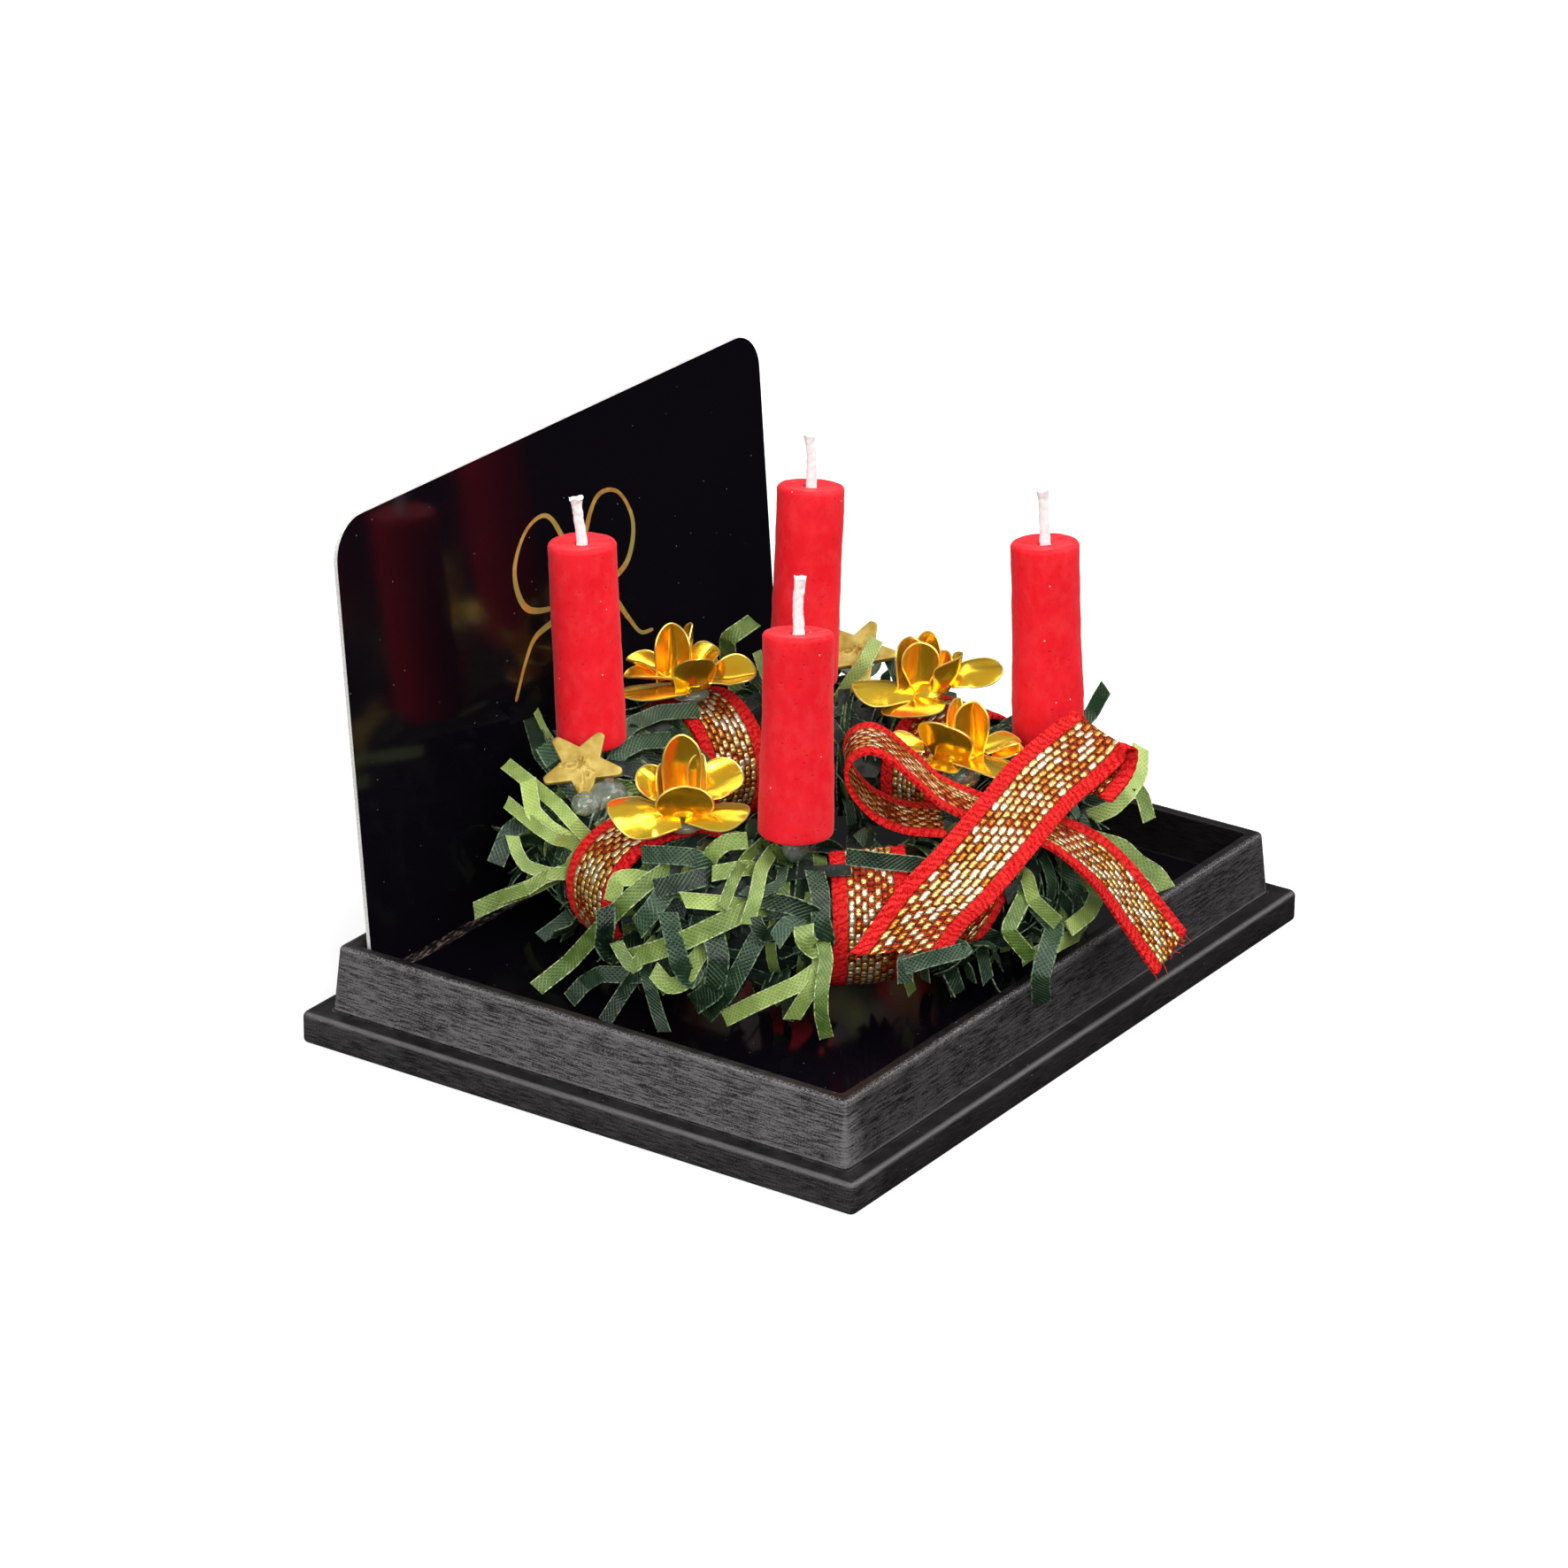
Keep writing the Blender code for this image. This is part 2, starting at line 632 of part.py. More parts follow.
def build_bow(name, stations, slant, material):
    centres = smooth_path([Vector(centre) * MM for centre, _ in stations], BOW_STEPS)
    sides = smooth_path([side for _, side in stations], BOW_STEPS)
    bm = bmesh.new()
    loft(bm, strip_rings(centres, sides, RIBBON_WIDTH, RIBBON_THICKNESS, slant))
    add_object(name, bm, [material], smooth_angle=50.0)


# Candles

def build_candle(name, material):
    """Turned candle with a blind bore for its wick, at its own small lean and with its top cut askew."""
    foot = CANDLES[name][3]
    slope_x, slope_y = CANDLES[name][4]
    length = CANDLE_TOP - CANDLES[name][2]
    profile = [(0.0, 0.0), (foot - 0.15 * MM, 0.0), (foot, 0.2 * MM), (foot, 3.0 * MM),
               (CANDLE_RADIUS, length * 0.6), (CANDLE_RADIUS, length - 0.35 * MM),
               (CANDLE_RADIUS - 0.3 * MM, length), (CANDLE_BORE_RADIUS, length),
               (CANDLE_BORE_RADIUS, CANDLE_BORE_FLOOR), (0.0, CANDLE_BORE_FLOOR)]
    bm = bmesh.new()
    turn(bm, profile, 20)
    for vert in bm.verts:
        if vert.co.z > length * 0.9:
            vert.co.z += vert.co.x * slope_x + vert.co.y * slope_y
    bm.transform(Matrix.Translation(candle_foot(name)) @ aim(candle_axis(name)))
    add_object(f"candle_{name}", bm, [material])


def build_wick(name, material):
    """Cotton wick that runs down inside its candle and ends above the bore's floor."""
    top = CANDLE_TOP - CANDLES[name][2] + CANDLES[name][5]
    profile = [(0.0, CANDLE_BORE_FLOOR + 0.1 * MM), (WICK_RADIUS, CANDLE_BORE_FLOOR + 0.1 * MM),
               (WICK_RADIUS, top - 0.1 * MM), (WICK_RADIUS - 0.1 * MM, top), (0.0, top)]
    bm = bmesh.new()
    turn(bm, profile, 10)
    bm.transform(Matrix.Translation(candle_foot(name)) @ aim(candle_axis(name)))
    add_object(f"wick_{name}", bm, [material])


# Foil flowers, stars and glue

def petal_rings(reach, width, rise, curl, start):
    """Sections of a creased petal that runs out along +X from near the flower's middle."""
    rings = []
    for t, spread in ((0.0, 0.3), (0.6, 1.0), (1.0, 0.5)):
        run = start + (reach - start) * t
        height = rise * t ** 1.5
        half = width / 2 * spread
        edge = curl * spread
        middle = Vector((run, 0.0, height))
        left = Vector((run, half, height + edge))
        right = Vector((run, -half, height + edge))
        slope = Vector((-rise * 1.5 * t ** 0.5, 0.0, reach - start)).normalized() * FOIL_THICKNESS
        rings.append([right, middle, left, left + slope, middle + slope, right + slope])
    return rings


def build_flower(name, material):
    """Stamped flower: spread petals below, a cup of raised petals above, and a middle button."""
    middle, spin, reach = FLOWERS[name]
    bm = bmesh.new()
    base = 0.5 * MM
    profile = [(0.0, -base), (FLOWER_BASE_RADIUS * 0.7, -base), (FLOWER_BASE_RADIUS, -base * 0.4),
               (FLOWER_BASE_RADIUS * 0.8, 0.9 * MM), (0.5 * MM, 1.6 * MM), (0.0, 1.7 * MM)]
    turn(bm, profile, 10)
    flower = add_object(f"foil_flower_{name}", bm, [material])
    layers = (
        (reach, 4.4 * MM, 0.9 * MM, 0.35 * MM, 1.3 * MM, 0.0, 0.0),
        (3.1 * MM, 3.4 * MM, 3.0 * MM, 0.5 * MM, 1.05 * MM, 0.6 * MM, 36.0),
    )
    petals = []
    draw = random.Random(len(name))
    for layer_reach, width, rise, curl, start, lift, phase in layers:
        for k in range(PETALS):
            bm = bmesh.new()
            loft(bm, petal_rings(layer_reach, width, rise * draw.uniform(0.9, 1.1), curl, start))
            angle = math.radians(phase + 360 / PETALS * k + draw.uniform(-4.0, 4.0))
            lift_here = lift + draw.uniform(-0.12, 0.12) * MM
            bm.transform(Matrix.Translation(UP * lift_here) @ Matrix.Rotation(angle, 4, "Z"))
            petals.append(add_object("petal", bm, [material]))
    fuse(flower, petals)
    flower.data.transform(Matrix.Translation(middle) @ Matrix.Rotation(math.radians(spin), 4, "Z"))


def build_star(name, material):
    """Five-armed star with blunt arms, stamped from thick foil."""
    middle, facing, spin = STARS[name]
    outline = []
    for k in range(PETALS):
        arm = math.radians(360 / PETALS * k)
        for swing, radius in ((-7, STAR_RADIUS * 0.97), (7, STAR_RADIUS * 0.97), (36, STAR_RADIUS * 0.5)):
            angle = arm + math.radians(swing)
            outline.append(Vector((radius * math.cos(angle), radius * math.sin(angle), 0.0)))
    half = UP * (STAR_THICKNESS / 2)
    bm = bmesh.new()
    loft(bm, [[point * 0.97 - half for point in outline], [point + half * 0.6 for point in outline],
              [point * 0.93 + half for point in outline]])
    bm.transform(Matrix.Translation(middle) @ aim(facing, spin))
    add_object(f"foil_star_{name}", bm, [material])


def build_glue(name, foot, top, radius, axis, material):
    """Set drop of hot glue between a foot and a top along an axis."""
    height = (top - foot).length
    profile = [(0.0, 0.0), (radius * 0.9, 0.0), (radius, height * 0.25), (radius * 0.88, height * 0.75),
               (radius * 0.7, height), (0.0, height)]
    bm = bmesh.new()
    turn(bm, profile, 12)
    bm.transform(Matrix.Translation(foot) @ aim(axis))
    add_object(name, bm, [material])


def build_glue_pads(material):
    seat = RING_HEIGHT + CORE_RADIUS + GLUE_CLEARANCE
    wrapped_seat = RING_HEIGHT + WRAP_RADIUS + RIBBON_THICKNESS + GLUE_CLEARANCE
    for name in CANDLES:
        top = candle_foot(name) - UP * 2 * GLUE_CLEARANCE
        foot = Vector((top.x, top.y, seat))
        build_glue(f"candle_glue_{name}", foot, top, 2.0 * MM, UP, material)
    for name, (middle, _, _) in FLOWERS.items():
        top = middle - UP * (0.5 * MM + GLUE_CLEARANCE)
        height = seat if name == "front" else wrapped_seat
        foot = Vector((top.x, top.y, height))
        build_glue(f"flower_glue_{name}", foot, top, 1.3 * MM, UP, material)
    for name, (middle, facing, _) in STARS.items():
        facing = facing.normalized()
        top = middle - facing * (STAR_THICKNESS / 2 + GLUE_CLEARANCE)
        build_glue(f"star_glue_{name}", top - facing * 1.3 * MM, top, 1.7 * MM, facing, material)


def main():
    for item in list(bpy.data.objects):
        bpy.data.objects.remove(item)
    black_plastic = new_material("black_plastic", (0.02, 0.02, 0.021), 0.42)
    black_card = new_material("black_card", (0.008, 0.008, 0.01), 0.12)
    steel_wire = new_material("steel_wire", (0.35, 0.36, 0.35), 0.4, 1.0)
    dark_leaf = new_material("dark_leaf", (0.012, 0.055, 0.045), 0.4)
    light_leaf = new_material("light_leaf", (0.2, 0.34, 0.07), 0.45)
    ribbon = new_material("ribbon", (0.55, 0.06, 0.03), 0.5, 0.2)
    wax = new_material("red_wax", (0.62, 0.012, 0.02), 0.55)
    cotton = new_material("cotton", (0.85, 0.84, 0.8), 0.9)
    foil = new_material("gold_foil", (0.9, 0.5, 0.05), 0.2, 1.0)
    star_foil = new_material("pale_gold_foil", (0.8, 0.62, 0.2), 0.4, 1.0)
    glue = new_material("clear_glue", (0.8, 0.82, 0.78), 0.25)

    build_tray(black_plastic)
    build_card(black_card)
    build_wire(steel_wire)
    for number, limits in enumerate(SPRAYS, start=1):
        build_spray(number, limits, [dark_leaf, light_leaf])
    for name in WRAPS:
        build_wrap(name, ribbon)
    build_bow("bow_back", BOW_BACK, 0.0, ribbon)
    build_bow("bow_front", BOW_FRONT, BOW_FRONT_SLANT, ribbon)
    for name in CANDLES:
        build_candle(name, wax)
        build_wick(name, cotton)
    for name in FLOWERS:
        build_flower(name, foil)
    for name in STARS:
        build_star(name, star_foil)
    build_glue_pads(glue)


main()
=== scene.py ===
"""Finished surfaces, light and camera for the miniature advent wreath.

Lengths are in millimetres until a piece is closed. The frame gives the bodies and nodes, and each piece
here stands for the node of the same place.
"""

import math
import random
from functools import reduce

import bmesh
import bpy
import numpy as np
from mathutils import Matrix, Vector, noise
from mathutils.bvhtree import BVHTree

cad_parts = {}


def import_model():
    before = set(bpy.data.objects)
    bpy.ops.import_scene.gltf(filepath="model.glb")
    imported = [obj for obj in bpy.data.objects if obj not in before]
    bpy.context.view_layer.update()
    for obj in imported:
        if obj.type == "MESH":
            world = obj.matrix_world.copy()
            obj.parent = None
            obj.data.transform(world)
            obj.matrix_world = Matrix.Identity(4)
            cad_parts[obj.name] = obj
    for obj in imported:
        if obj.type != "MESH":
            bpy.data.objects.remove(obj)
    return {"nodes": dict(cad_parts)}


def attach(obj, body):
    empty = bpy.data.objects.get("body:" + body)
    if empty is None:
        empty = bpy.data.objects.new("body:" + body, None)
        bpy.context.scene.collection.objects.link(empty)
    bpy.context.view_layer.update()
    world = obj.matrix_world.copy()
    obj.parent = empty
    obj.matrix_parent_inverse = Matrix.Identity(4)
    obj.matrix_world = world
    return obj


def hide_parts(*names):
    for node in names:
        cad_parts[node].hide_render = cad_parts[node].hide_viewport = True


MM = 0.001
UP = np.array((0.0, 0.0, 1.0))

# Tray and card
PLATE_LENGTH, PLATE_DEPTH, PLATE_HEIGHT = 60.0, 48.0, 2.4
RIM_TOP, RIM_FOOT_INSET, RIM_TOP_INSET, RIM_THICKNESS = 7.36, 1.6, 2.0, 1.0
RECESS_FLOOR = 3.85
CARD_THICKNESS, CARD_WIDTH, CARD_TOP, CARD_CORNER = 0.32, 52.0, 38.8, 3.0
CARD_LEAN = math.radians(4.3)
CARD_FLOOR_TOP, CARD_FOLD_Y, CARD_FRONT_Y = 4.25, 20.38, -20.7

# Garland ring
RING_RADIUS, RING_HEIGHT, CORE_RADIUS = 15.4, 12.2, 4.4
ROOT_RADIUS = CORE_RADIUS - 0.6
SPRAYS = ((-131, -110), (-110, -58), (-58, -10), (-10, 29), (29, 68), (68, 116), (116, 166), (166, 198),
          (198, 229))

# Ribbon
RIBBON_WIDTH, RIBBON_THICKNESS, RIBBON_COLUMNS, WRAP_RADIUS, SELVAGE_WIDTH = 5.5, 0.4, 33, 4.7, 1.06
FLOAT_PITCH_ACROSS, FLOAT_PITCH_ALONG, CORD_PITCH = 0.483, 0.92, 0.54

# Wraps: place round the ring in degrees, shift that follows the cosine and the sine of the lift round the
# garland, and first and last lift in degrees
WRAPS = {
    "left": (169.0, -2.2, 0.0, -170.0, 190.0),
    "back": (68.0, 0.3, 0.0, -170.0, 190.0),
    "right": (-10.0, 0.0, 0.0, -170.0, 190.0),
    "front": (-131.0, -0.9, 0.0, -105.0, 88.0),
    "bow_end": (-113.3, 0.0, 4.3, -16.0, 52.0),
}

# Bow: points on the middle of each ribbon, each with the direction across the ribbon
BOW_FRONT = (
    ((-14.3, -17.2, 12.1), (-0.25, 0.79, 0.55)), ((-11.4, -18.0, 14.6), (-0.25, 0.79, 0.55)),
    ((-8.4, -18.9, 16.5), (-0.25, 0.79, 0.55)), ((-4.4, -19.3, 18.4), (-0.25, 0.79, 0.55)),
    ((1.1, -18.8, 19.7), (-0.25, 0.79, 0.55)), ((5.2, -19.0, 20.6), (-0.25, 0.79, 0.55)),
    ((7.2, -19.3, 21.2), (-0.12, 0.88, 0.42)), ((8.2, -19.5, 21.6), (0.03, 0.95, 0.32)),
    ((8.7, -19.6, 20.7), (0.08, 0.96, 0.28)), ((7.9, -19.6, 19.4), (0.1, 0.96, 0.26)),
    ((5.4, -19.5, 18.3), (0.1, 0.96, 0.24)),
)
BOW_BACK = (
    ((6.9, -26.7, 6.6), (0.95, 0.15, 0.28)), ((5.9, -24.6, 9.7), (0.96, 0.18, 0.2)),
    ((4.6, -22.7, 12.8), (0.96, 0.24, 0.14)), ((2.6, -20.9, 15.2), (0.93, 0.37, 0.06)),
    ((0.6, -18.8, 16.9), (0.87, 0.50, 0.0)), ((-1.4, -15.6, 18.1), (0.83, 0.56, 0.0)),
    ((-3.6, -13.7, 19.7), (0.82, 0.57, 0.0)), ((-5.3, -12.4, 21.8), (0.82, 0.57, 0.0)),
    ((-6.4, -11.2, 23.4), (0.82, 0.57, 0.0)), ((-7.3, -10.0, 24.2), (0.82, 0.57, 0.0)),
    ((-8.0, -8.9, 23.7), (0.82, 0.57, 0.0)), ((-8.2, -8.5, 22.4), (0.82, 0.57, 0.0)),
    ((-7.9, -8.9, 20.8), (0.82, 0.57, 0.0)), ((-7.1, -10.2, 19.1), (0.82, 0.57, 0.0)),
    ((-5.8, -11.9, 18.1), (0.82, 0.57, 0.0)), ((-4.1, -14.0, 17.75), (0.82, 0.57, 0.0)),
)

# Candles: top in plan, drift of the foot, height of the foot, radius at the foot, slopes of the cut top and
# how much wick shows
CANDLE_TOP, CANDLE_RADIUS, CANDLE_SIDES, WICK_RADIUS = 34.0, 2.5, 56, 0.46
CANDLES = {
    "left": ((-8.4, 14.4), 0.6, 18.5, 2.55, (-0.05, -0.03), 3.3),
    "back": ((10.7, 7.5), -0.5, 18.5, 2.57, (-0.11, -0.07), 3.9),
    "right": ((10.8, -12.8), 0.6, 18.5, 2.62, (-0.06, -0.05), 3.9),
    "front": ((-13.8, -8.2), -0.1, 18.9, 2.67, (-0.15, -0.1), 4.0),
}
PHOTO_RIGHT = np.array((0.567, -0.823, 0.0))

# Wicks: lean of the tip, swing of the middle and spread of the cut end; each is rooted below the candle's top
WICKS = {
    "left": (-0.28, 0.05, 0.3),
    "back": (-0.3, 0.3, 0.1),
    "right": (-0.12, 0.1, 0.16),
    "front": (0.05, -0.2, 0.1),
}
WICK_ROOT = 1.4

# Flowers: middle, then petals as (root from the middle toward the photo's right, away and up; turn from the
# photo's right; first and last rise in degrees; length, width, cup, roll in degrees, width of the neck)
FLOWERS = {
    "left": ((-15.4, 0.5, 19.1), (
        ((-0.1, 0.4, 0.1), 96, 84, 92, 5.2, 2.8, 0.35, 0, 0.9),
        ((1.1, 0.2, 0.2), 60, 84, 92, 3.8, 1.5, 0.6, 0, 0.8),
        ((0.1, -0.6, -0.7), 272, 66, 84, 3.1, 4.1, -0.25, 0, 0.6),
        ((0.8, 0.6, 0.3), 20, 42, 8, 4.0, 3.0, 0.3, 32, 0.8),
        ((-0.8, 0.4, 0.4), 172, 48, 30, 3.2, 2.2, 0.2, -55, 0.8),
        ((-1.3, 0.3, 0.2), 120, 80, 88, 2.9, 1.4, 0.5, 0, 0.8),
        ((-0.6, -0.2, 0.0), 200, 10, -4, 4.9, 4.2, -0.4, -22, 0.9),
        ((0.6, -0.2, -0.1), 338, 8, 2, 4.3, 3.2, -0.3, 16, 0.9),
        ((0.0, 0.6, 0.0), 100, 10, 0, 4.2, 3.8, -0.2, 0, 0.8))),
    "back": ((4.5, 14.0, 19.1), (
        ((-1.4, 0.2, -0.1), 95, 84, 92, 4.4, 2.6, 0.9, 0, 0.9),
        ((0.0, 0.6, 0.3), 20, 88, 94, 3.9, 1.6, 0.5, 0, 0.7),
        ((0.5, 0.7, 0.1), 30, 64, 30, 2.5, 2.2, 0.6, 20, 0.7),
        ((0.2, -0.9, -0.6), 285, 58, 84, 3.2, 3.2, 0.2, 0, 0.8),
        ((1.3, 0.0, -0.1), 6, 14, 8, 3.6, 3.2, 0.3, 20, 0.7),
        ((-0.3, -0.6, -0.4), 196, 2, -2, 5.0, 3.0, -0.1, 0, 0.8),
        ((-1.2, 0.4, -0.3), 172, 16, 34, 3.9, 2.6, 0.7, 0, 0.7),
        ((-1.0, -0.2, 0.1), 188, 4, 8, 4.0, 2.2, 0.5, 0, 0.8),
        ((0.0, 0.6, 0.0), 85, 10, 0, 4.0, 3.8, -0.2, 0, 0.8))),
    "right": ((13.3, -1.2, 18.9), (
        ((-0.5, 0.2, 0.1), 98, 84, 92, 3.5, 2.8, 0.35, 0, 0.5),
        ((-1.3, 0.5, 0.1), 110, 84, 90, 3.8, 2.4, 0.5, 0, 0.8),
        ((0.1, 0.9, 0.1), 80, 84, 90, 4.1, 2.0, 0.6, 0, 0.8),
        ((0.9, 0.7, 0.3), 50, 60, 80, 2.4, 2.2, 0.5, 0, 0.8),
        ((1.6, -0.3, 0.0), 335, 58, 88, 3.2, 3.5, 0.7, 0, 0.8),
        ((1.6, 0.3, 0.7), 10, 22, -6, 4.2, 3.2, -0.2, 18, 0.8),
        ((-1.0, -0.1, 0.2), 184, 8, -4, 4.5, 3.6, -0.4, -10, 0.8),
        ((-0.6, -0.9, -0.1), 250, -6, -30, 2.6, 5.0, -0.1, 12, 0.9),
        ((0.0, 0.6, 0.0), 95, 10, 0, 4.0, 3.8, -0.2, 0, 0.8))),
    "front": ((4.0, -10.3, 19.3), (
        ((0.8, 0.0, -0.1), 80, 86, 92, 4.0, 2.5, 0.35, 0, 0.7),
        ((-0.4, 0.7, 0.2), 60, 84, 84, 3.6, 1.2, 0.6, 0, 0.8),
        ((-0.8, -0.5, -0.4), 236, 55, 86, 3.5, 4.6, 0.15, 0, 0.7),
        ((-2.7, 0.3, 0.0), 180, 12, 20, 2.7, 2.2, 0.4, -14, 0.8),
        ((2.2, 0.1, -0.4), 356, 8, 26, 2.4, 1.7, 0.5, 14, 0.7),
        ((0.0, -0.6, -0.1), 326, 2, -8, 5.2, 3.0, -0.1, 0, 0.8),
        ((-0.8, -0.5, -0.2), 230, 0, -20, 1.8, 3.0, -0.2, 0, 0.9),
        ((1.6, 0.6, -0.2), 20, 14, 8, 2.9, 2.6, 0.3, 0, 0.8),
        ((0.0, 0.6, 0.0), 110, 10, 0, 4.0, 3.8, -0.2, 0, 0.8))),
}
PHOTO_TURN = -55.4
TOWARD_PHOTO = np.array((-0.757, -0.52, 0.395))
PETAL_HALF_THICKNESS, PETAL_BEAD = 0.04, 0.075

# Stars: middle, facing, turn in degrees
STARS = {
    "left": ((-12.85, 11.3, 18.8), (-0.53, -0.36, 0.77), 6.0),
    "back": ((15.95, 6.7, 19.2), (-0.45, -0.3, 0.84), 10.0),
}

# Pressed marks on a star: place from its middle, size and depth
STAR_MARKS = (
    (0.1, 0.05, 0.3, 0.17), (-0.3, 0.5, 0.18, 0.12), (-0.6, 0.9, 0.16, 0.1), (0.0, -0.55, 0.15, 0.08),
    (-0.7, 1.4, 0.14, 0.1), (-0.5, -0.75, 0.16, 0.12), (-0.95, -0.7, 0.14, 0.1), (-0.1, -0.95, 0.12, 0.08),
    (-1.9, -0.75, 0.18, 0.12), (-0.35, 0.0, 0.12, 0.08),
)

# Glue beside the left star: blobs with their radius, and strings from end to end
STAR_DRIPS = (((-13.3, 8.5, 17.5), 1.5), ((-13.4, 7.7, 17.1), 1.1), ((-15.4, 9.2, 17.4), 1.0))
STAR_STRINGS = (((-15.4, 9.1, 17.0), (-16.6, 9.9, 15.9)), ((-15.0, 8.4, 17.0), (-16.0, 8.4, 15.7)),
                ((-14.3, 7.8, 17.0), (-16.2, 7.2, 15.6)))

# Loose and lying strips: number of each kind to a degree of the ring, and tries to find a clear place for one
GARLAND_SEED, STRIPS_PER_DEGREE, TRIES = 70, 1.1, 12

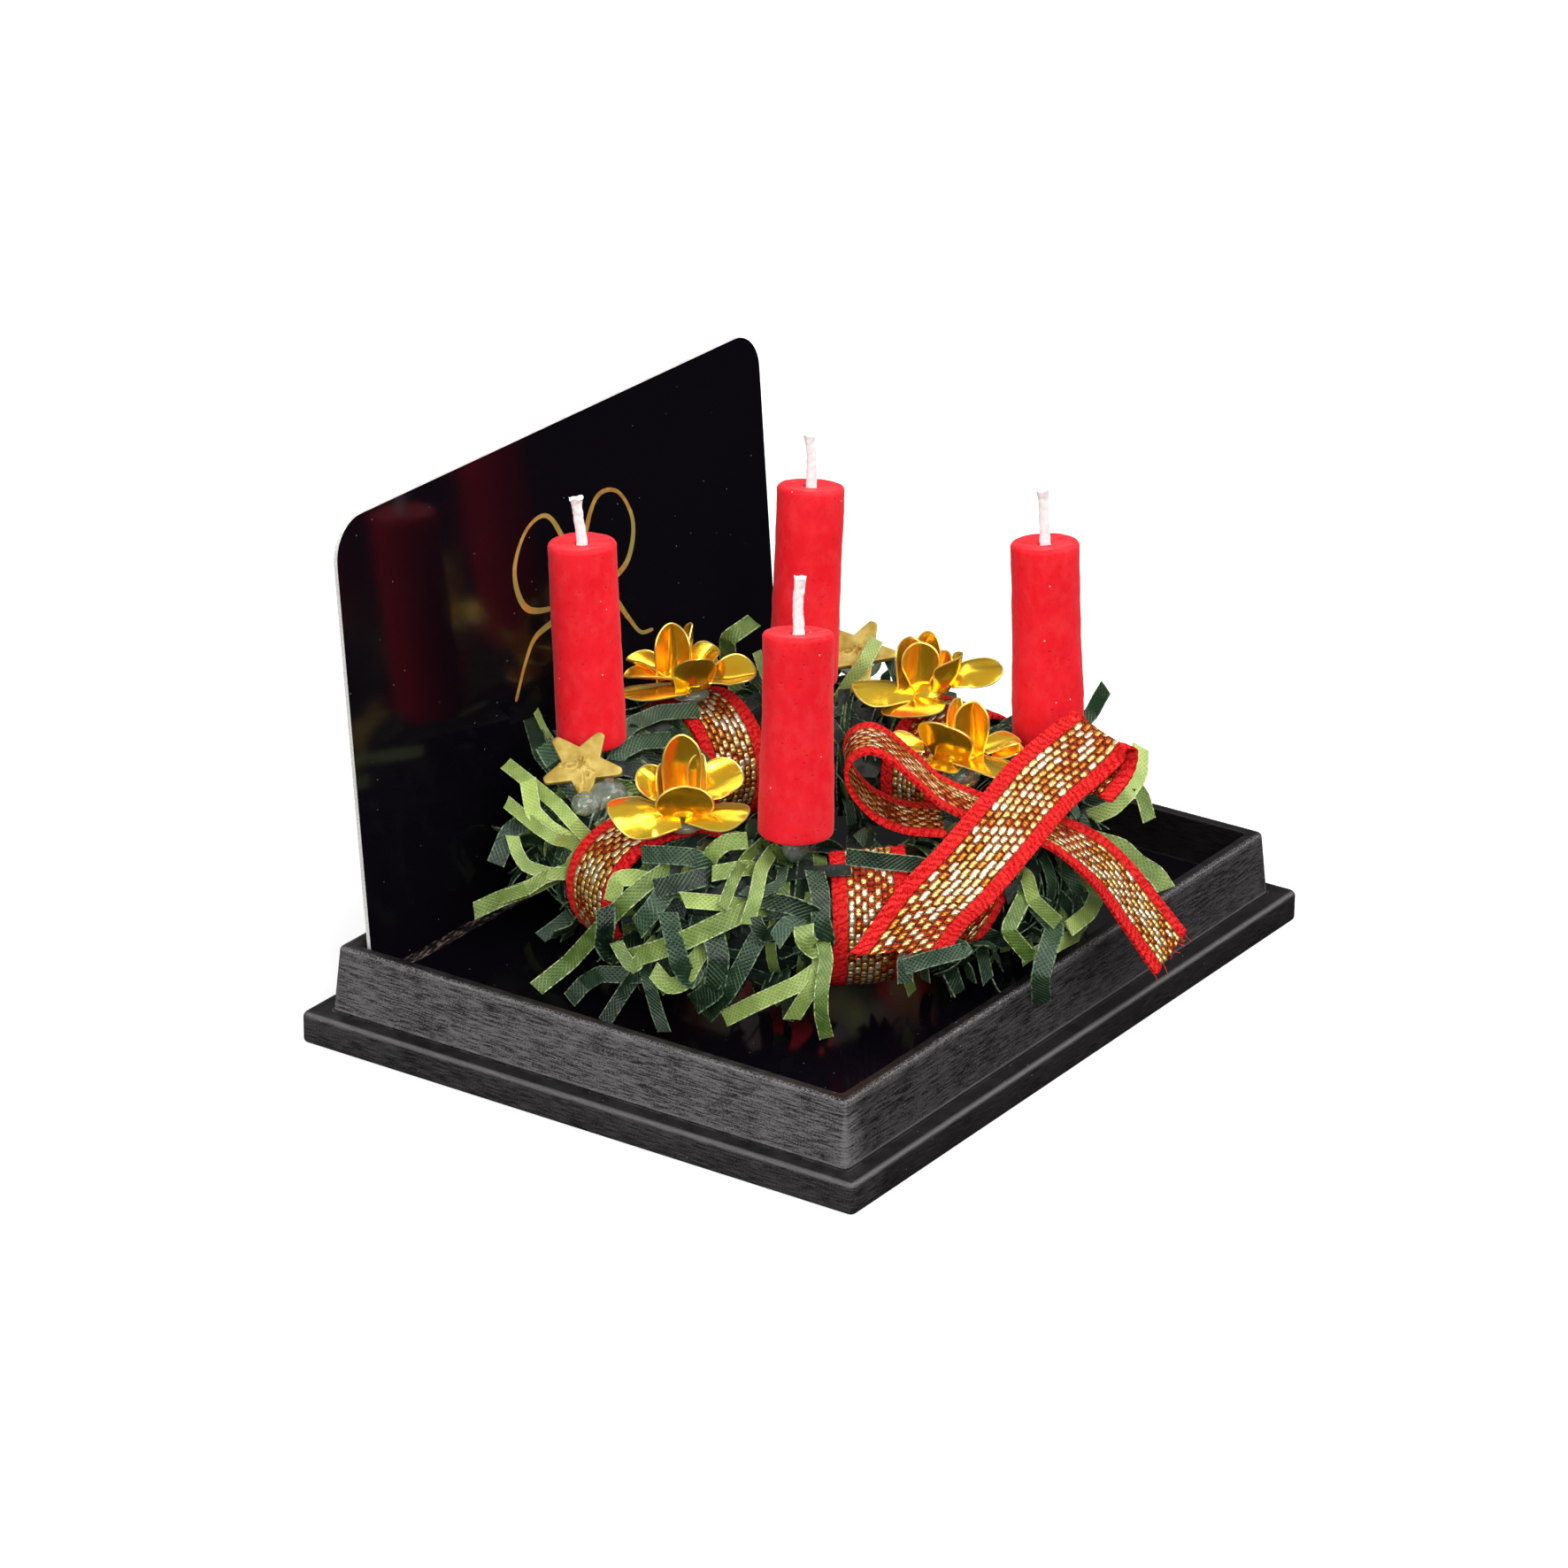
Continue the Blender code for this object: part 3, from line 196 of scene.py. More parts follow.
# Foil strips that the photograph shows singly: shade, width, and stations from root to tip as turn round the
# ring, lift round its tube and distance from the tube's middle
STRIP_HALF_THICKNESS, STRIP_MAP_WIDTH = 0.05, 1.4
SHADES = ("light", "dark")
STRIPS = (
    ("light", 1.3, ((182, 46, 5.2), (180, 31, 6.0), (177, 14, 6.8), (164, -32, 8.2), (162, -33, 11.1))),
    ("light", 1.3, ((177, 32, 6.3), (175, 28, 7.0), (174, 13, 6.5))),
    ("light", 1.5, ((202, 25, 6.2), (197, 15, 6.9), (191, 3, 7.3), (185, -7, 7.4), (178, -20, 7.2))),
    ("light", 1.0, ((182, -14, 7.2), (181, -20, 7.8), (179, -13, 7.7), (177, -8, 7.3))),
    ("light", 1.3, ((193, -9, 6.8), (191, -22, 7.8), (188, -25, 8.0), (185, -18, 7.6))),
    ("light", 1.3, ((216, -9, 6.8), (212, -14, 7.8), (205, -25, 8.2), (198, -42, 8.4))),
    ("light", 1.0, ((158, 34, 5.6), (154, 32, 6.6), (149, 32, 7.4), (139, 31, 8.5))),
    ("light", 1.3, ((157, 35, 5.6), (151, 35, 6.8), (146, 37, 7.6), (139, 46, 8.2))),
    ("light", 1.0, ((157, -14, 6.6), (155, -8, 7.4), (153, 2, 7.8), (146, 7, 8.6))),
    ("light", 1.0, ((157, 7, 6.0), (150, 9, 7.4), (148, 15, 7.9), (146, 21, 8.2))),
    ("light", 1.3, ((148, -7, 5.8), (152, -2, 7.5), (144, -15, 8.7), (143, -17, 10.7))),
    ("light", 1.1, ((156, 47, 6.0), (148, 49, 6.7), (137, 45, 7.6), (128, 39, 8.8))),
    ("light", 1.0, ((156, 5, 6.4), (154, 1, 8.0), (149, -7, 9.2))),
    ("dark", 1.6, ((131, 64, 5.8), (135, 62, 7.4), (130, 61, 8.4))),
    ("dark", 1.4, ((138, 62, 6.0), (128, 56, 7.6), (109, 46, 8.6))),
    ("dark", 1.4, ((141, 30, 6.6), (144, 21, 8.2), (146, 6, 9.0))),
    ("light", 0.5, ((118, 58, 6.8), (117, 57, 8.0), (112, 54, 9.0))),
    ("dark", 1.3, ((110, 99, 5.7), (103, 102, 6.1), (90, 107, 6.1), (74, 114, 5.5))),
    ("dark", 1.3, ((122, 104, 5.8), (116, 115, 6.6), (103, 130, 6.8))),
    ("dark", 1.5, ((175, -20, 7.3), (175, -9, 7.8), (176, 2, 7.9), (175, 12, 7.6))),
    ("dark", 1.5, ((193, -14, 6.9), (192, -22, 7.5), (191, -8, 7.9), (188, 18, 7.6))),
    ("dark", 1.4, ((191, 56, 5.6), (188, 55, 6.3), (183, 52, 6.4), (176, 49, 6.0))),
    ("dark", 1.5, ((193, 44, 6.3), (189, 36, 6.9), (183, 29, 6.6))),
    ("dark", 1.6, ((185, 30, 6.2), (184, 16, 7.0), (181, 3, 6.9))),
    ("dark", 1.7, ((196, 9, 6.5), (198, -3, 7.5), (197, -22, 7.9), (192, -37, 8.0))),
    ("light", 1.2, ((198, 28, 6.6), (194, 27, 7.3), (190, 26, 7.2))),
    ("light", 1.2, ((193, 102, 5.4), (193, 76, 6.2), (192, 60, 6.3))),
    ("light", 1.3, ((192, 60, 6.3), (195, 66, 7.0), (200, 67, 7.3))),
    ("light", 1.2, ((201, 56, 5.9), (198, 49, 6.7), (194, 45, 6.6))),
    ("light", 0.9, ((201, 95, 5.2), (200, 62, 6.2), (199, 44, 6.9), (198, 25, 7.4))),
    ("light", 1.1, ((205, 78, 5.6), (204, 51, 6.9), (204, 33, 7.5), (203, 18, 7.8))),
    ("dark", 1.1, ((206, 11, 6.9), (205, 16, 7.6), (204, 22, 7.6))),
    ("dark", 0.8, ((208, 61, 5.4), (208, 44, 6.2), (204, 35, 6.7), (201, 37, 6.8))),
    ("dark", 1.3, ((180, -34, 6.9), (172, -32, 8.0), (165, -46, 8.6), (166, -42, 10.2))),
    ("dark", 1.1, ((179, -32, 7.2), (176, -42, 8.6), (176, -41, 10.8))),
    ("dark", 1.0, ((181, -26, 6.7), (184, -28, 8.0), (185, -41, 8.9), (187, -45, 10.0))),
    ("dark", 1.4, ((204, 6, 6.4), (202, -8, 7.2), (199, -24, 8.0), (193, -50, 8.1))),
    ("dark", 1.6, ((198, 113, 6.8), (191, 105, 8.1), (182, 109, 8.9))),
    ("light", 1.1, ((218, 7, 6.3), (217, 0, 7.4), (216, -12, 9.0), (216, -22, 9.6), (217, -34, 10.1))),
    ("dark", 1.5, ((217, 8, 6.5), (216, 22, 7.0), (216, 37, 6.8), (215, 55, 6.0))),
    ("dark", 1.4, ((215, 24, 6.9), (211, 29, 7.6), (207, 31, 7.4))),
    ("dark", 1.3, ((214, 17, 6.9), (210, 20, 7.5), (208, 10, 7.7))),
    ("light", 1.5, ((215, 5, 7.4), (213, 12, 7.9), (213, 19, 7.6))),
    ("light", 1.2, ((216, -6, 6.8), (215, -14, 7.8), (213, -21, 8.4), (211, -32, 8.8))),
    ("light", 1.2, ((-111, 14, 6.0), (-108, 0, 7.2), (-103, -19, 7.9))),
    ("light", 1.1, ((-104, 24, 5.8), (-101, 12, 7.0), (-96, -6, 7.6))),
    ("light", 1.1, ((-96, 4, 6.2), (-95, -7, 7.3), (-94, -21, 7.9), (-87, -46, 8.9))),
    ("light", 1.3, ((-75, -9, 6.0), (-75, -16, 6.8), (-82, -18, 7.2), (-91, -16, 7.4))),
    ("light", 1.3, ((-79, -37, 7.4), (-94, -21, 7.6), (-101, -22, 7.6))),
    ("dark", 1.5, ((-96, -9, 6.0), (-101, -11, 7.2), (-104, -21, 8.2), (-101, -38, 8.6))),
    ("dark", 1.2, ((-127, 2, 6.1), (-129, -3, 7.3), (-129, -16, 7.9))),
    ("dark", 1.2, ((-118, -1, 6.7), (-126, 0, 7.4), (-130, -3, 7.2))),
    ("dark", 1.3, ((-122, 52, 6.5), (-131, 58, 6.7), (-138, 65, 6.5))),
    ("light", 1.3, ((-57, 16, 6.8), (-56, 21, 8.2), (-50, 21, 9.4), (-46, 28, 10.3))),
    ("light", 1.1, ((-50, 20, 8.6), (-53, 14, 9.1), (-57, 6, 9.3))),
    ("light", 1.5, ((-61, -4, 7.3), (-63, -9, 8.6), (-64, -11, 10.1), (-66, -14, 11.1))),
    ("dark", 1.2, ((-30, 33, 9.1), (-31, 38, 10.2), (-32, 41, 11.1))),
    ("dark", 1.4, ((-42, 124, 5.8), (-42, 112, 6.7), (-43, 98, 7.1), (-45, 89, 5.4))),
    ("light", 1.2, ((23, 96, 5.6), (19, 93, 7.2), (18, 77, 8.4))),
    ("light", 1.4, ((52, 44, 7.5), (54, 65, 8.4), (51, 69, 9.0), (46, 51, 10.0))),
)


def unit(vectors):
    """Vectors at unit length, for one or for a grid of them."""
    vectors = np.asarray(vectors, float)
    return vectors / np.maximum(np.linalg.norm(vectors, axis=-1, keepdims=True), 1e-9)


def curve(points, steps):
    """Catmull-Rom curve through points, with a number of steps between each two."""
    points = np.asarray(points, float)
    padded = np.vstack((2 * points[0] - points[1], points, 2 * points[-1] - points[-2]))
    t = np.arange(steps)[:, None] / steps
    path = []
    for a, b, c, d in zip(padded, padded[1:], padded[2:], padded[3:]):
        path.append(0.5 * (2 * b + (c - a) * t + (2 * a - 5 * b + 4 * c - d) * t ** 2
                           + (3 * b - a - 3 * c + d) * t ** 3))
    return np.vstack((*path, points[-1:]))


def directions(path):
    """Unit directions along a path at each of its points."""
    return unit(np.gradient(path, axis=0))


def level_pair(angle):
    """Level directions outward at an angle and a quarter turn on from it."""
    outward = np.array((math.cos(angle), math.sin(angle), 0.0))
    return outward, np.cross(UP, outward)


def smooth_step(value, low, high):
    """Rises from 0 to 1 between two limits, with a soft start and end."""
    share = np.clip((value - low) / (high - low), 0.0, 1.0)
    return share * share * (3 - 2 * share)


def lengths(path):
    """Distance along a path at each of its points."""
    return np.concatenate(((0.0,), np.cumsum(np.linalg.norm(np.diff(path, axis=0), axis=1))))


def resample(path, count):
    """The same path with its points evenly spaced."""
    along = lengths(path)
    at = np.linspace(0.0, along[-1], count)
    return np.stack([np.interp(at, along, path[:, k]) for k in range(path.shape[1])], axis=1)


def rough(points, scale, seed):
    """Smooth noise from -1 to 1 at each point of a grid."""
    flat = points.reshape(-1, 3) * scale + seed * 7.3
    return np.array([noise.noise(p) for p in flat]).reshape(points.shape[:-1])


def carried(path, side):
    """Directions across a path, kept from turning round it."""
    sides = []
    for step in directions(path):
        side = unit(side - step * (side @ step))
        sides.append(side)
    return np.array(sides)


def pipe(shells, path, radii, sides=6, look=0):
    """Round tube along a path, with one radius or one for each point."""
    a = carried(path, np.array((0.31, 0.77, 0.56)))
    b = np.cross(directions(path), a)
    angle = np.linspace(0.0, math.tau, sides, endpoint=False)[:, None]
    wheel = np.cos(angle) * a[:, None, :] + np.sin(angle) * b[:, None, :]
    shells.tube(path[:, None, :] + wheel * np.broadcast_to(radii, len(path))[:, None, None], look)


def tie(piece, nodes):
    """Ties a piece to the frame's body and the nodes that it stands for."""
    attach(piece, "root")
    if nodes:
        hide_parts(*nodes)


def start_piece(name, materials):
    """Names the primitive just added, keeps its place in its mesh, and opens it for shaping."""
    bpy.ops.object.transform_apply(location=True, rotation=True, scale=True)
    piece = bpy.context.object
    piece.name = piece.data.name = name
    for material in materials:
        piece.data.materials.append(material)
    bpy.ops.object.mode_set(mode="EDIT")
    return piece


def pick(piece, kind, test):
    """Selects the faces, edges or vertices that pass a test, given their middle in millimetres."""
    bpy.ops.mesh.select_mode(type=kind)
    bpy.ops.mesh.select_all(action="DESELECT")
    bm = bmesh.from_edit_mesh(piece.data)
    for part in {"FACE": bm.faces, "EDGE": bm.edges, "VERT": bm.verts}[kind]:
        corners = [part.co] if kind == "VERT" else [vert.co for vert in part.verts]
        if test(sum(corners, Vector()) / len(corners) / MM, part):
            part.select_set(True)
    bm.select_flush_mode()
    bmesh.update_edit_mesh(piece.data)


def pull(x, y, z):
    """Extrudes what is selected by a distance in millimetres."""
    bpy.ops.mesh.extrude_region_move(TRANSFORM_OT_translate={"value": (x * MM, y * MM, z * MM)})


def soften(radius, segments, affect="EDGES", material=-1):
    """Rounds what is selected to a radius in millimetres."""
    bpy.ops.mesh.bevel(offset=radius * MM, segments=segments, affect=affect, material=material)


def finish_piece(piece, slot, *nodes, angle=30.0):
    """Smooths a modelled piece and ties it to the frame."""
    bpy.ops.object.mode_set(mode="OBJECT")
    bpy.ops.object.shade_smooth_by_angle(angle=math.radians(angle))
    bpy.ops.object.select_all(action="DESELECT")
    tie(piece, nodes)
    return piece


class Shells:
    """Collects closed shells of quads for one piece."""

    def __init__(self):
        self.points, self.quads, self.maps, self.looks, self.tones, self.caps = [], [], [], [], [], []
        self.count = 0

    def grid(self, index, maps, look, tone):
        """Stores the quads between the points of a grid of numbers."""
        corners = (slice(None, -1), slice(None, -1)), (slice(1, None), slice(None, -1)), \
            (slice(1, None), slice(1, None)), (slice(None, -1), slice(1, None))
        quads = np.stack([index[corner] for corner in corners], axis=-1).reshape(-1, 4)
        self.quads.append(quads)
        self.maps.append(np.stack([maps[corner] for corner in corners], axis=-2).reshape(-1, 4, 2))
        self.looks.append(np.full(len(quads), look))
        self.tones.append(np.full(len(quads), tone))

    def add(self, points):
        """Stores a grid of points and gives their numbers."""
        rows, columns = points.shape[:2]
        index = self.count + np.arange(rows * columns).reshape(rows, columns)
        self.points.append(points.reshape(-1, 3))
        self.count += rows * columns
        return index

    def sheet(self, top, bottom, maps, looks=(0, 0, 0), closed=False, tone=0.0):
        """Thin shell between two grids of points, with its edges walled; closed joins last row to first."""
        over, under = self.add(top), self.add(bottom)
        if closed:
            over, under = np.vstack((over, over[:1])), np.vstack((under, under[:1]))
        self.grid(over, maps, looks[0], tone)
        self.grid(under[:, ::-1], maps[:, ::-1], looks[1], tone)
        for k in (0, -1):
            self.grid(np.stack((over[:, k], under[:, k]), axis=1), np.stack((maps[:, k],) * 2, axis=1),
                      looks[2], tone)
            if not closed:
                self.grid(np.stack((over[k], under[k]), axis=1), np.stack((maps[k],) * 2, axis=1),
                          looks[2], tone)

    def tube(self, rings, look=0, tone=0.0):
        """Shell through rings of points, with its two ends capped."""
        index = self.add(rings)
        wrapped = np.hstack((index, index[:, :1]))
        across = np.linspace(0.0, 1.0, rings.shape[1] + 1)
        along = lengths(rings.mean(axis=1))
        maps = np.stack(np.broadcast_arrays(across[None, :], along[:, None]), axis=-1)
        self.grid(wrapped, maps, look, tone)
        self.caps += [(index[0].tolist(), look, tone), (index[-1][::-1].tolist(), look, tone)]

    def close(self, name, materials, slot, *nodes, angle=40.0):
        """Makes the object, points its faces outward, and ties it to the frame."""
        quads = np.concatenate(self.quads)
        faces = quads.tolist() + [cap[0] for cap in self.caps]
        mesh = bpy.data.meshes.new(name)
        mesh.from_pydata((np.concatenate(self.points) * MM).tolist(), [], faces)
        maps = np.concatenate(self.maps).reshape(-1)
        spare = sum(len(cap[0]) for cap in self.caps) * 2
        mesh.uv_layers.new(name="UVMap").data.foreach_set("uv", np.concatenate((maps, np.zeros(spare))))
        looks = np.concatenate((np.concatenate(self.looks), [cap[1] for cap in self.caps])).astype(int)
        tones = np.concatenate((np.concatenate(self.tones), [cap[2] for cap in self.caps]))
        for material in materials:
            mesh.materials.append(material)
        mesh.polygons.foreach_set("material_index", looks)
        mesh.attributes.new("tone", "FLOAT", "FACE").data.foreach_set("value", tones)
        bm = bmesh.new()
        bm.from_mesh(mesh)
        bmesh.ops.recalc_face_normals(bm, faces=bm.faces)
        bm.to_mesh(mesh)
        bm.free()
        mesh.shade_smooth()
        mesh.set_sharp_from_angle(angle=math.radians(angle))
        piece = bpy.data.objects.new(name, mesh)
        bpy.context.scene.collection.objects.link(piece)
        tie(piece, nodes)
        return piece


class Look:
    """Builds one procedural material."""

    def __init__(self, name):
        self.material = bpy.data.materials.new(name)
        self.material.use_nodes = True
        self.tree = self.material.node_tree
        self.shader = self.tree.nodes["Principled BSDF"]
        self.place = self.node("ShaderNodeTexCoord").outputs["Object"]
        self.map = self.node("ShaderNodeUVMap").outputs["UV"]

    def node(self, kind, inputs=None, **settings):
        made = self.tree.nodes.new(kind)
        for key, value in settings.items():
            setattr(made, key, value)
        self.feed(made, inputs or {})
        return made

    def feed(self, made, inputs):
        for key, value in inputs.items():
            if isinstance(value, bpy.types.NodeSocket):
                self.tree.links.new(value, made.inputs[key])
            elif isinstance(made.inputs[key].default_value, float) or isinstance(value, (int, float)):
                made.inputs[key].default_value = value
            else:
                made.inputs[key].default_value = (*value, 1.0)[:len(made.inputs[key].default_value)]

    def set(self, **inputs):
        self.feed(self.shader, {key.replace("_", " "): value for key, value in inputs.items()})

    def noise(self, size, detail=3.0, vector=None):
        """Noise with features of about a size in millimetres."""
        return self.node("ShaderNodeTexNoise", {"Vector": vector or self.place, "Scale": 1.0 / (size * MM),
                                                "Detail": detail}).outputs["Fac"]

    def threads(self, x, y, scale, detail):
        """Noise on two values, drawn out along the one that grows slower."""
        return self.node("ShaderNodeTexNoise", {"Vector": self.pair(x, y), "Scale": scale,
                                                "Detail": detail}).outputs["Fac"]

    def cells(self, size):
        """Distance to the middle of scattered cells, in cells of a size in millimetres."""
        return self.node("ShaderNodeTexVoronoi", {"Vector": self.place,
                                                  "Scale": 1.0 / (size * MM)}).outputs["Distance"]

    def stretch(self, x, y, z):
        return self.node("ShaderNodeVectorMath", {0: self.place, 1: (x, y, z)},
                         operation="MULTIPLY").outputs[0]

    def pair(self, x, y):
        return self.node("ShaderNodeCombineXYZ", {"X": x, "Y": y}).outputs[0]

    def math(self, operation, a, b=0.0, clamp=False):
        return self.node("ShaderNodeMath", {0: a, 1: b}, operation=operation, use_clamp=clamp).outputs[0]

    def total(self, *values):
        return reduce(lambda a, b: self.math("ADD", a, b), values)

    def product(self, *values):
        return reduce(lambda a, b: self.math("MULTIPLY", a, b), values)

    def most(self, *values):
        return reduce(lambda a, b: self.math("MAXIMUM", a, b), values)

    def span(self, value, low, high, start=0.0, end=1.0):
        """Value moved from one range to another, and held inside it."""
        return self.node("ShaderNodeMapRange", {"Value": value, "From Min": low, "From Max": high,
                                                "To Min": start, "To Max": end}).outputs["Result"]

    def mix(self, factor, a, b):
        return self.node("ShaderNodeMix", {0: factor, 6: a, 7: b}, data_type="RGBA").outputs[2]

    def split(self, vector):
        return self.node("ShaderNodeSeparateXYZ", {"Vector": vector}).outputs

    def tone(self):
        return self.node("ShaderNodeAttribute", attribute_name="tone").outputs["Fac"]

    def bump(self, height, depth, strength=1.0, normal=None):
        """Bump whose full height is a depth in millimetres."""
        inputs = {"Height": height, "Distance": depth * MM, "Strength": strength}
        if normal:
            inputs["Normal"] = normal
        made = self.node("ShaderNodeBump", inputs).outputs["Normal"]
        self.set(Normal=made)
        return made


# Materials

def plastic_look():
    """Black moulding: fine scratches and specks on its sides, edges pale from rubbing, and dust; painted
    shade on its upper faces and in its recess, paler walls on the -x side as painted light, and a painted
    highlight along the flange's outer top edge.
    """
    look = Look("black_plastic")
    x, y, z = look.split(look.stretch(1 / MM, 1 / MM, 1 / MM))
    from_x = look.math("SUBTRACT", look.math("ABSOLUTE", x), PLATE_LENGTH / 2)
    from_y = look.math("SUBTRACT", look.math("ABSOLUTE", y), PLATE_DEPTH / 2)
    outward, corner = look.math("MAXIMUM", from_x, from_y), look.math("MINIMUM", from_x, from_y)
    scratches = look.noise(0.24, 5.0, look.stretch(0.16, 0.16, 2.4))
    specks = look.noise(0.12, 3.0)
    cloud = look.noise(4.0, 3.0, look.stretch(0.7, 0.7, 1.3))
    grain = look.total(look.product(scratches, 0.52), look.product(specks, 0.33), look.product(cloud, 0.15))
    colour = look.mix(look.span(grain, 0.43, 0.57), (0.008, 0.0075, 0.0075), (0.066, 0.061, 0.06))
    # Painted light: the walls on the -x side take a paler grey, as if lit more strongly than the rest.
    lit_side_colour = look.mix(look.span(grain, 0.43, 0.57), (0.02, 0.019, 0.02), (0.165, 0.157, 0.159))
    colour = look.mix(look.span(x, -26.0, -27.5), colour, lit_side_colour)
    side = look.span(z, PLATE_HEIGHT + 0.02, PLATE_HEIGHT - 0.1, 0.0, 0.65)
    colour = look.mix(side, colour, (0.008, 0.007, 0.007))
    # Painted shade: the top of the flange, the top of the rim and the inside of the recess are darkened
    # nearly to black.
    plate_top = look.product(look.span(z, PLATE_HEIGHT - 0.08, PLATE_HEIGHT - 0.02),
                             look.span(z, PLATE_HEIGHT + 0.1, PLATE_HEIGHT + 0.04))
    rim_top = look.span(z, RIM_TOP - 0.1, RIM_TOP - 0.03)
    inside = look.span(outward, -RIM_TOP_INSET - 0.45, -RIM_TOP_INSET - 0.6)
    dark = look.most(plate_top, rim_top, inside)
    colour = look.mix(look.product(dark, 0.9), colour, (0.003, 0.0024, 0.0022))
    strokes = look.span(look.noise(0.07, 4.0, look.stretch(0.5, 0.5, 1.2)), 0.46, 0.64)
    rim_edge = look.product(look.span(z, RIM_TOP - 0.55, RIM_TOP - 0.3),
                            look.span(outward, -RIM_TOP_INSET - 0.4, -RIM_TOP_INSET - 0.2), strokes)
    # Painted highlight: a pale line along the flange's outer top edge.
    plate_edge_highlight = look.product(look.span(z, 2.05, 2.25), look.span(outward, -0.4, -0.2), 0.4)
    foot = look.product(look.span(z, PLATE_HEIGHT + 0.04, PLATE_HEIGHT + 0.12),
                        look.span(z, PLATE_HEIGHT + 0.3, PLATE_HEIGHT + 0.18), 0.45)
    upright = look.product(look.span(corner, -2.25, -2.0), look.span(z, 2.6, 2.8), 0.45)
    # Edges pale from rubbing on the rim and its upright corners, a light line at the rim's foot, and the
    # painted highlight on the flange edge.
    rubbed_and_highlight = look.most(rim_edge, plate_edge_highlight, foot, upright)
    colour = look.mix(look.product(rubbed_and_highlight, 0.8), colour, (0.22, 0.21, 0.21))
    dust = look.span(look.cells(1.1), 0.045, 0.03)
    look.set(Base_Color=look.mix(dust, colour, (0.32, 0.31, 0.3)),
             Roughness=look.span(grain, 0.4, 0.6, 0.34, 0.5), Specular_IOR_Level=0.3)
    first = look.bump(look.total(scratches, look.product(specks, 0.6)), 0.03, 0.8)
    look.bump(look.noise(7.0, 2.0), 0.12, 0.4, first)
    return look.material


def card_look():
    """Glossy black lacquered card with slight orange peel, dust and rubbing."""
    look = Look("black_card")
    wide = look.noise(9.0, 2.0)
    dust = look.span(look.cells(1.3), 0.04, 0.025)
    look.set(Base_Color=look.mix(dust, (0.0032, 0.0024, 0.0044), (0.25, 0.24, 0.22)),
             Roughness=look.span(wide, 0.3, 0.7, 0.09, 0.15), IOR=1.32)
    look.bump(look.total(wide, look.product(look.noise(0.5, 2.0), 0.06)), 0.06, 0.5)
    return look.material


def paper_look():
    """Cut white paper edge of the card."""
    look = Look("card_edge")
    fibre = look.noise(0.15, 4.0, look.stretch(0.3, 1.0, 1.0))
    look.set(Base_Color=look.mix(look.span(fibre, 0.35, 0.7), (0.62, 0.6, 0.57), (0.86, 0.85, 0.83)),
             Roughness=0.85)
    look.bump(fibre, 0.03, 0.6)
    return look.material


def worn_look():
    """Cracked lacquer along the card's fold."""
    look = Look("card_fold")
    crack = look.noise(0.35, 5.0, look.stretch(0.5, 2.0, 2.0))
    look.set(Base_Color=look.mix(look.span(crack, 0.52, 0.62), (0.006, 0.005, 0.006), (0.16, 0.1, 0.075)),
             Roughness=look.span(crack, 0.4, 0.6, 0.25, 0.7))
    look.bump(crack, 0.05, 0.8)
    return look.material


def gold_line_look():
    """Stamped gold foil line on the card, dulled in places."""
    look = Look("gold_line")
    wear = look.noise(0.5, 4.0)
    dull = look.span(look.noise(4.0, 2.0), 0.4, 0.6)
    bright = look.mix(look.span(wear, 0.4, 0.65), (1.0, 0.46, 0.09), (1.0, 0.66, 0.17))
    look.set(Base_Color=look.mix(dull, bright, (0.42, 0.33, 0.09)),
             Metallic=look.span(dull, 0.0, 1.0, 0.75, 0.3), Roughness=look.span(wear, 0.3, 0.7, 0.3, 0.5))
    look.bump(wear, 0.02, 0.6)
    return look.material


def wax_look():
    """Dyed wax: matt, finely grained, with small pits and lumps, painted shade in the pits, and a few white
    specks.
    """
    look = Look("red_wax")
    grain = look.noise(0.16, 3.0)
    soft = look.noise(0.7, 4.0, look.stretch(1.0, 1.0, 0.6))
    pit = look.span(look.cells(0.9), 0.14, 0.05)
    speck = look.span(look.cells(1.35), 0.055, 0.035)
    base = look.mix(look.span(look.noise(4.0, 3.0), 0.3, 0.7), (0.88, 0.007, 0.017), (0.98, 0.019, 0.033))
    base = look.mix(look.product(look.span(soft, 0.45, 0.7), 0.3), base, (1.0, 0.07, 0.075))
    base = look.mix(look.product(look.span(look.noise(0.32, 4.0), 0.56, 0.7), 0.35), base, (0.66, 0.0, 0.008))
    # Painted shade: the pits are darkened.
    base = look.mix(look.product(pit, 0.5), base, (0.5, 0.0, 0.004))
    look.set(Base_Color=look.mix(speck, base, (1.0, 0.62, 0.58)),
             Roughness=look.span(grain, 0.3, 0.7, 0.5, 0.68), Specular_IOR_Level=0.2,
             Subsurface_Weight=0.3, Subsurface_Scale=0.9 * MM, Subsurface_Radius=(1.0, 0.08, 0.06),
             Sheen_Weight=0.12, Sheen_Roughness=0.35)
    height = look.total(look.product(grain, 0.5), look.product(soft, 0.5), look.product(pit, -0.8))
    look.bump(height, 0.05, 0.8)
    return look.material


def cotton_look():
    """Waxed white cotton yarn."""
    look = Look("cotton")
    x, y, _ = look.split(look.map)
    fibre = look.threads(look.product(x, 9.0), look.product(y, 1.6), 3.0, 5.0)
    look.set(Base_Color=look.mix(look.span(fibre, 0.3, 0.7), (0.97, 0.95, 0.93), (1.0, 1.0, 0.99)),
             Roughness=0.7, Subsurface_Weight=0.2, Subsurface_Scale=0.5 * MM)
    look.bump(fibre, 0.03, 0.7)
    return look.material


def foil_look(name, low, high, roughness):
    """Thin bright foil with faint draw lines and shallow dents."""
    look = Look(name)
    wide = look.noise(1.8, 2.0)
    fine = look.noise(0.12, 3.0, look.stretch(1.0, 0.35, 0.6))
    look.set(Base_Color=look.mix(look.span(wide, 0.3, 0.7), low, high), Metallic=0.85,
             Roughness=look.span(fine, 0.3, 0.7, roughness, roughness + 0.08))
    look.bump(look.total(wide, look.product(fine, 0.04)), 0.06, 0.4)
    return look.material


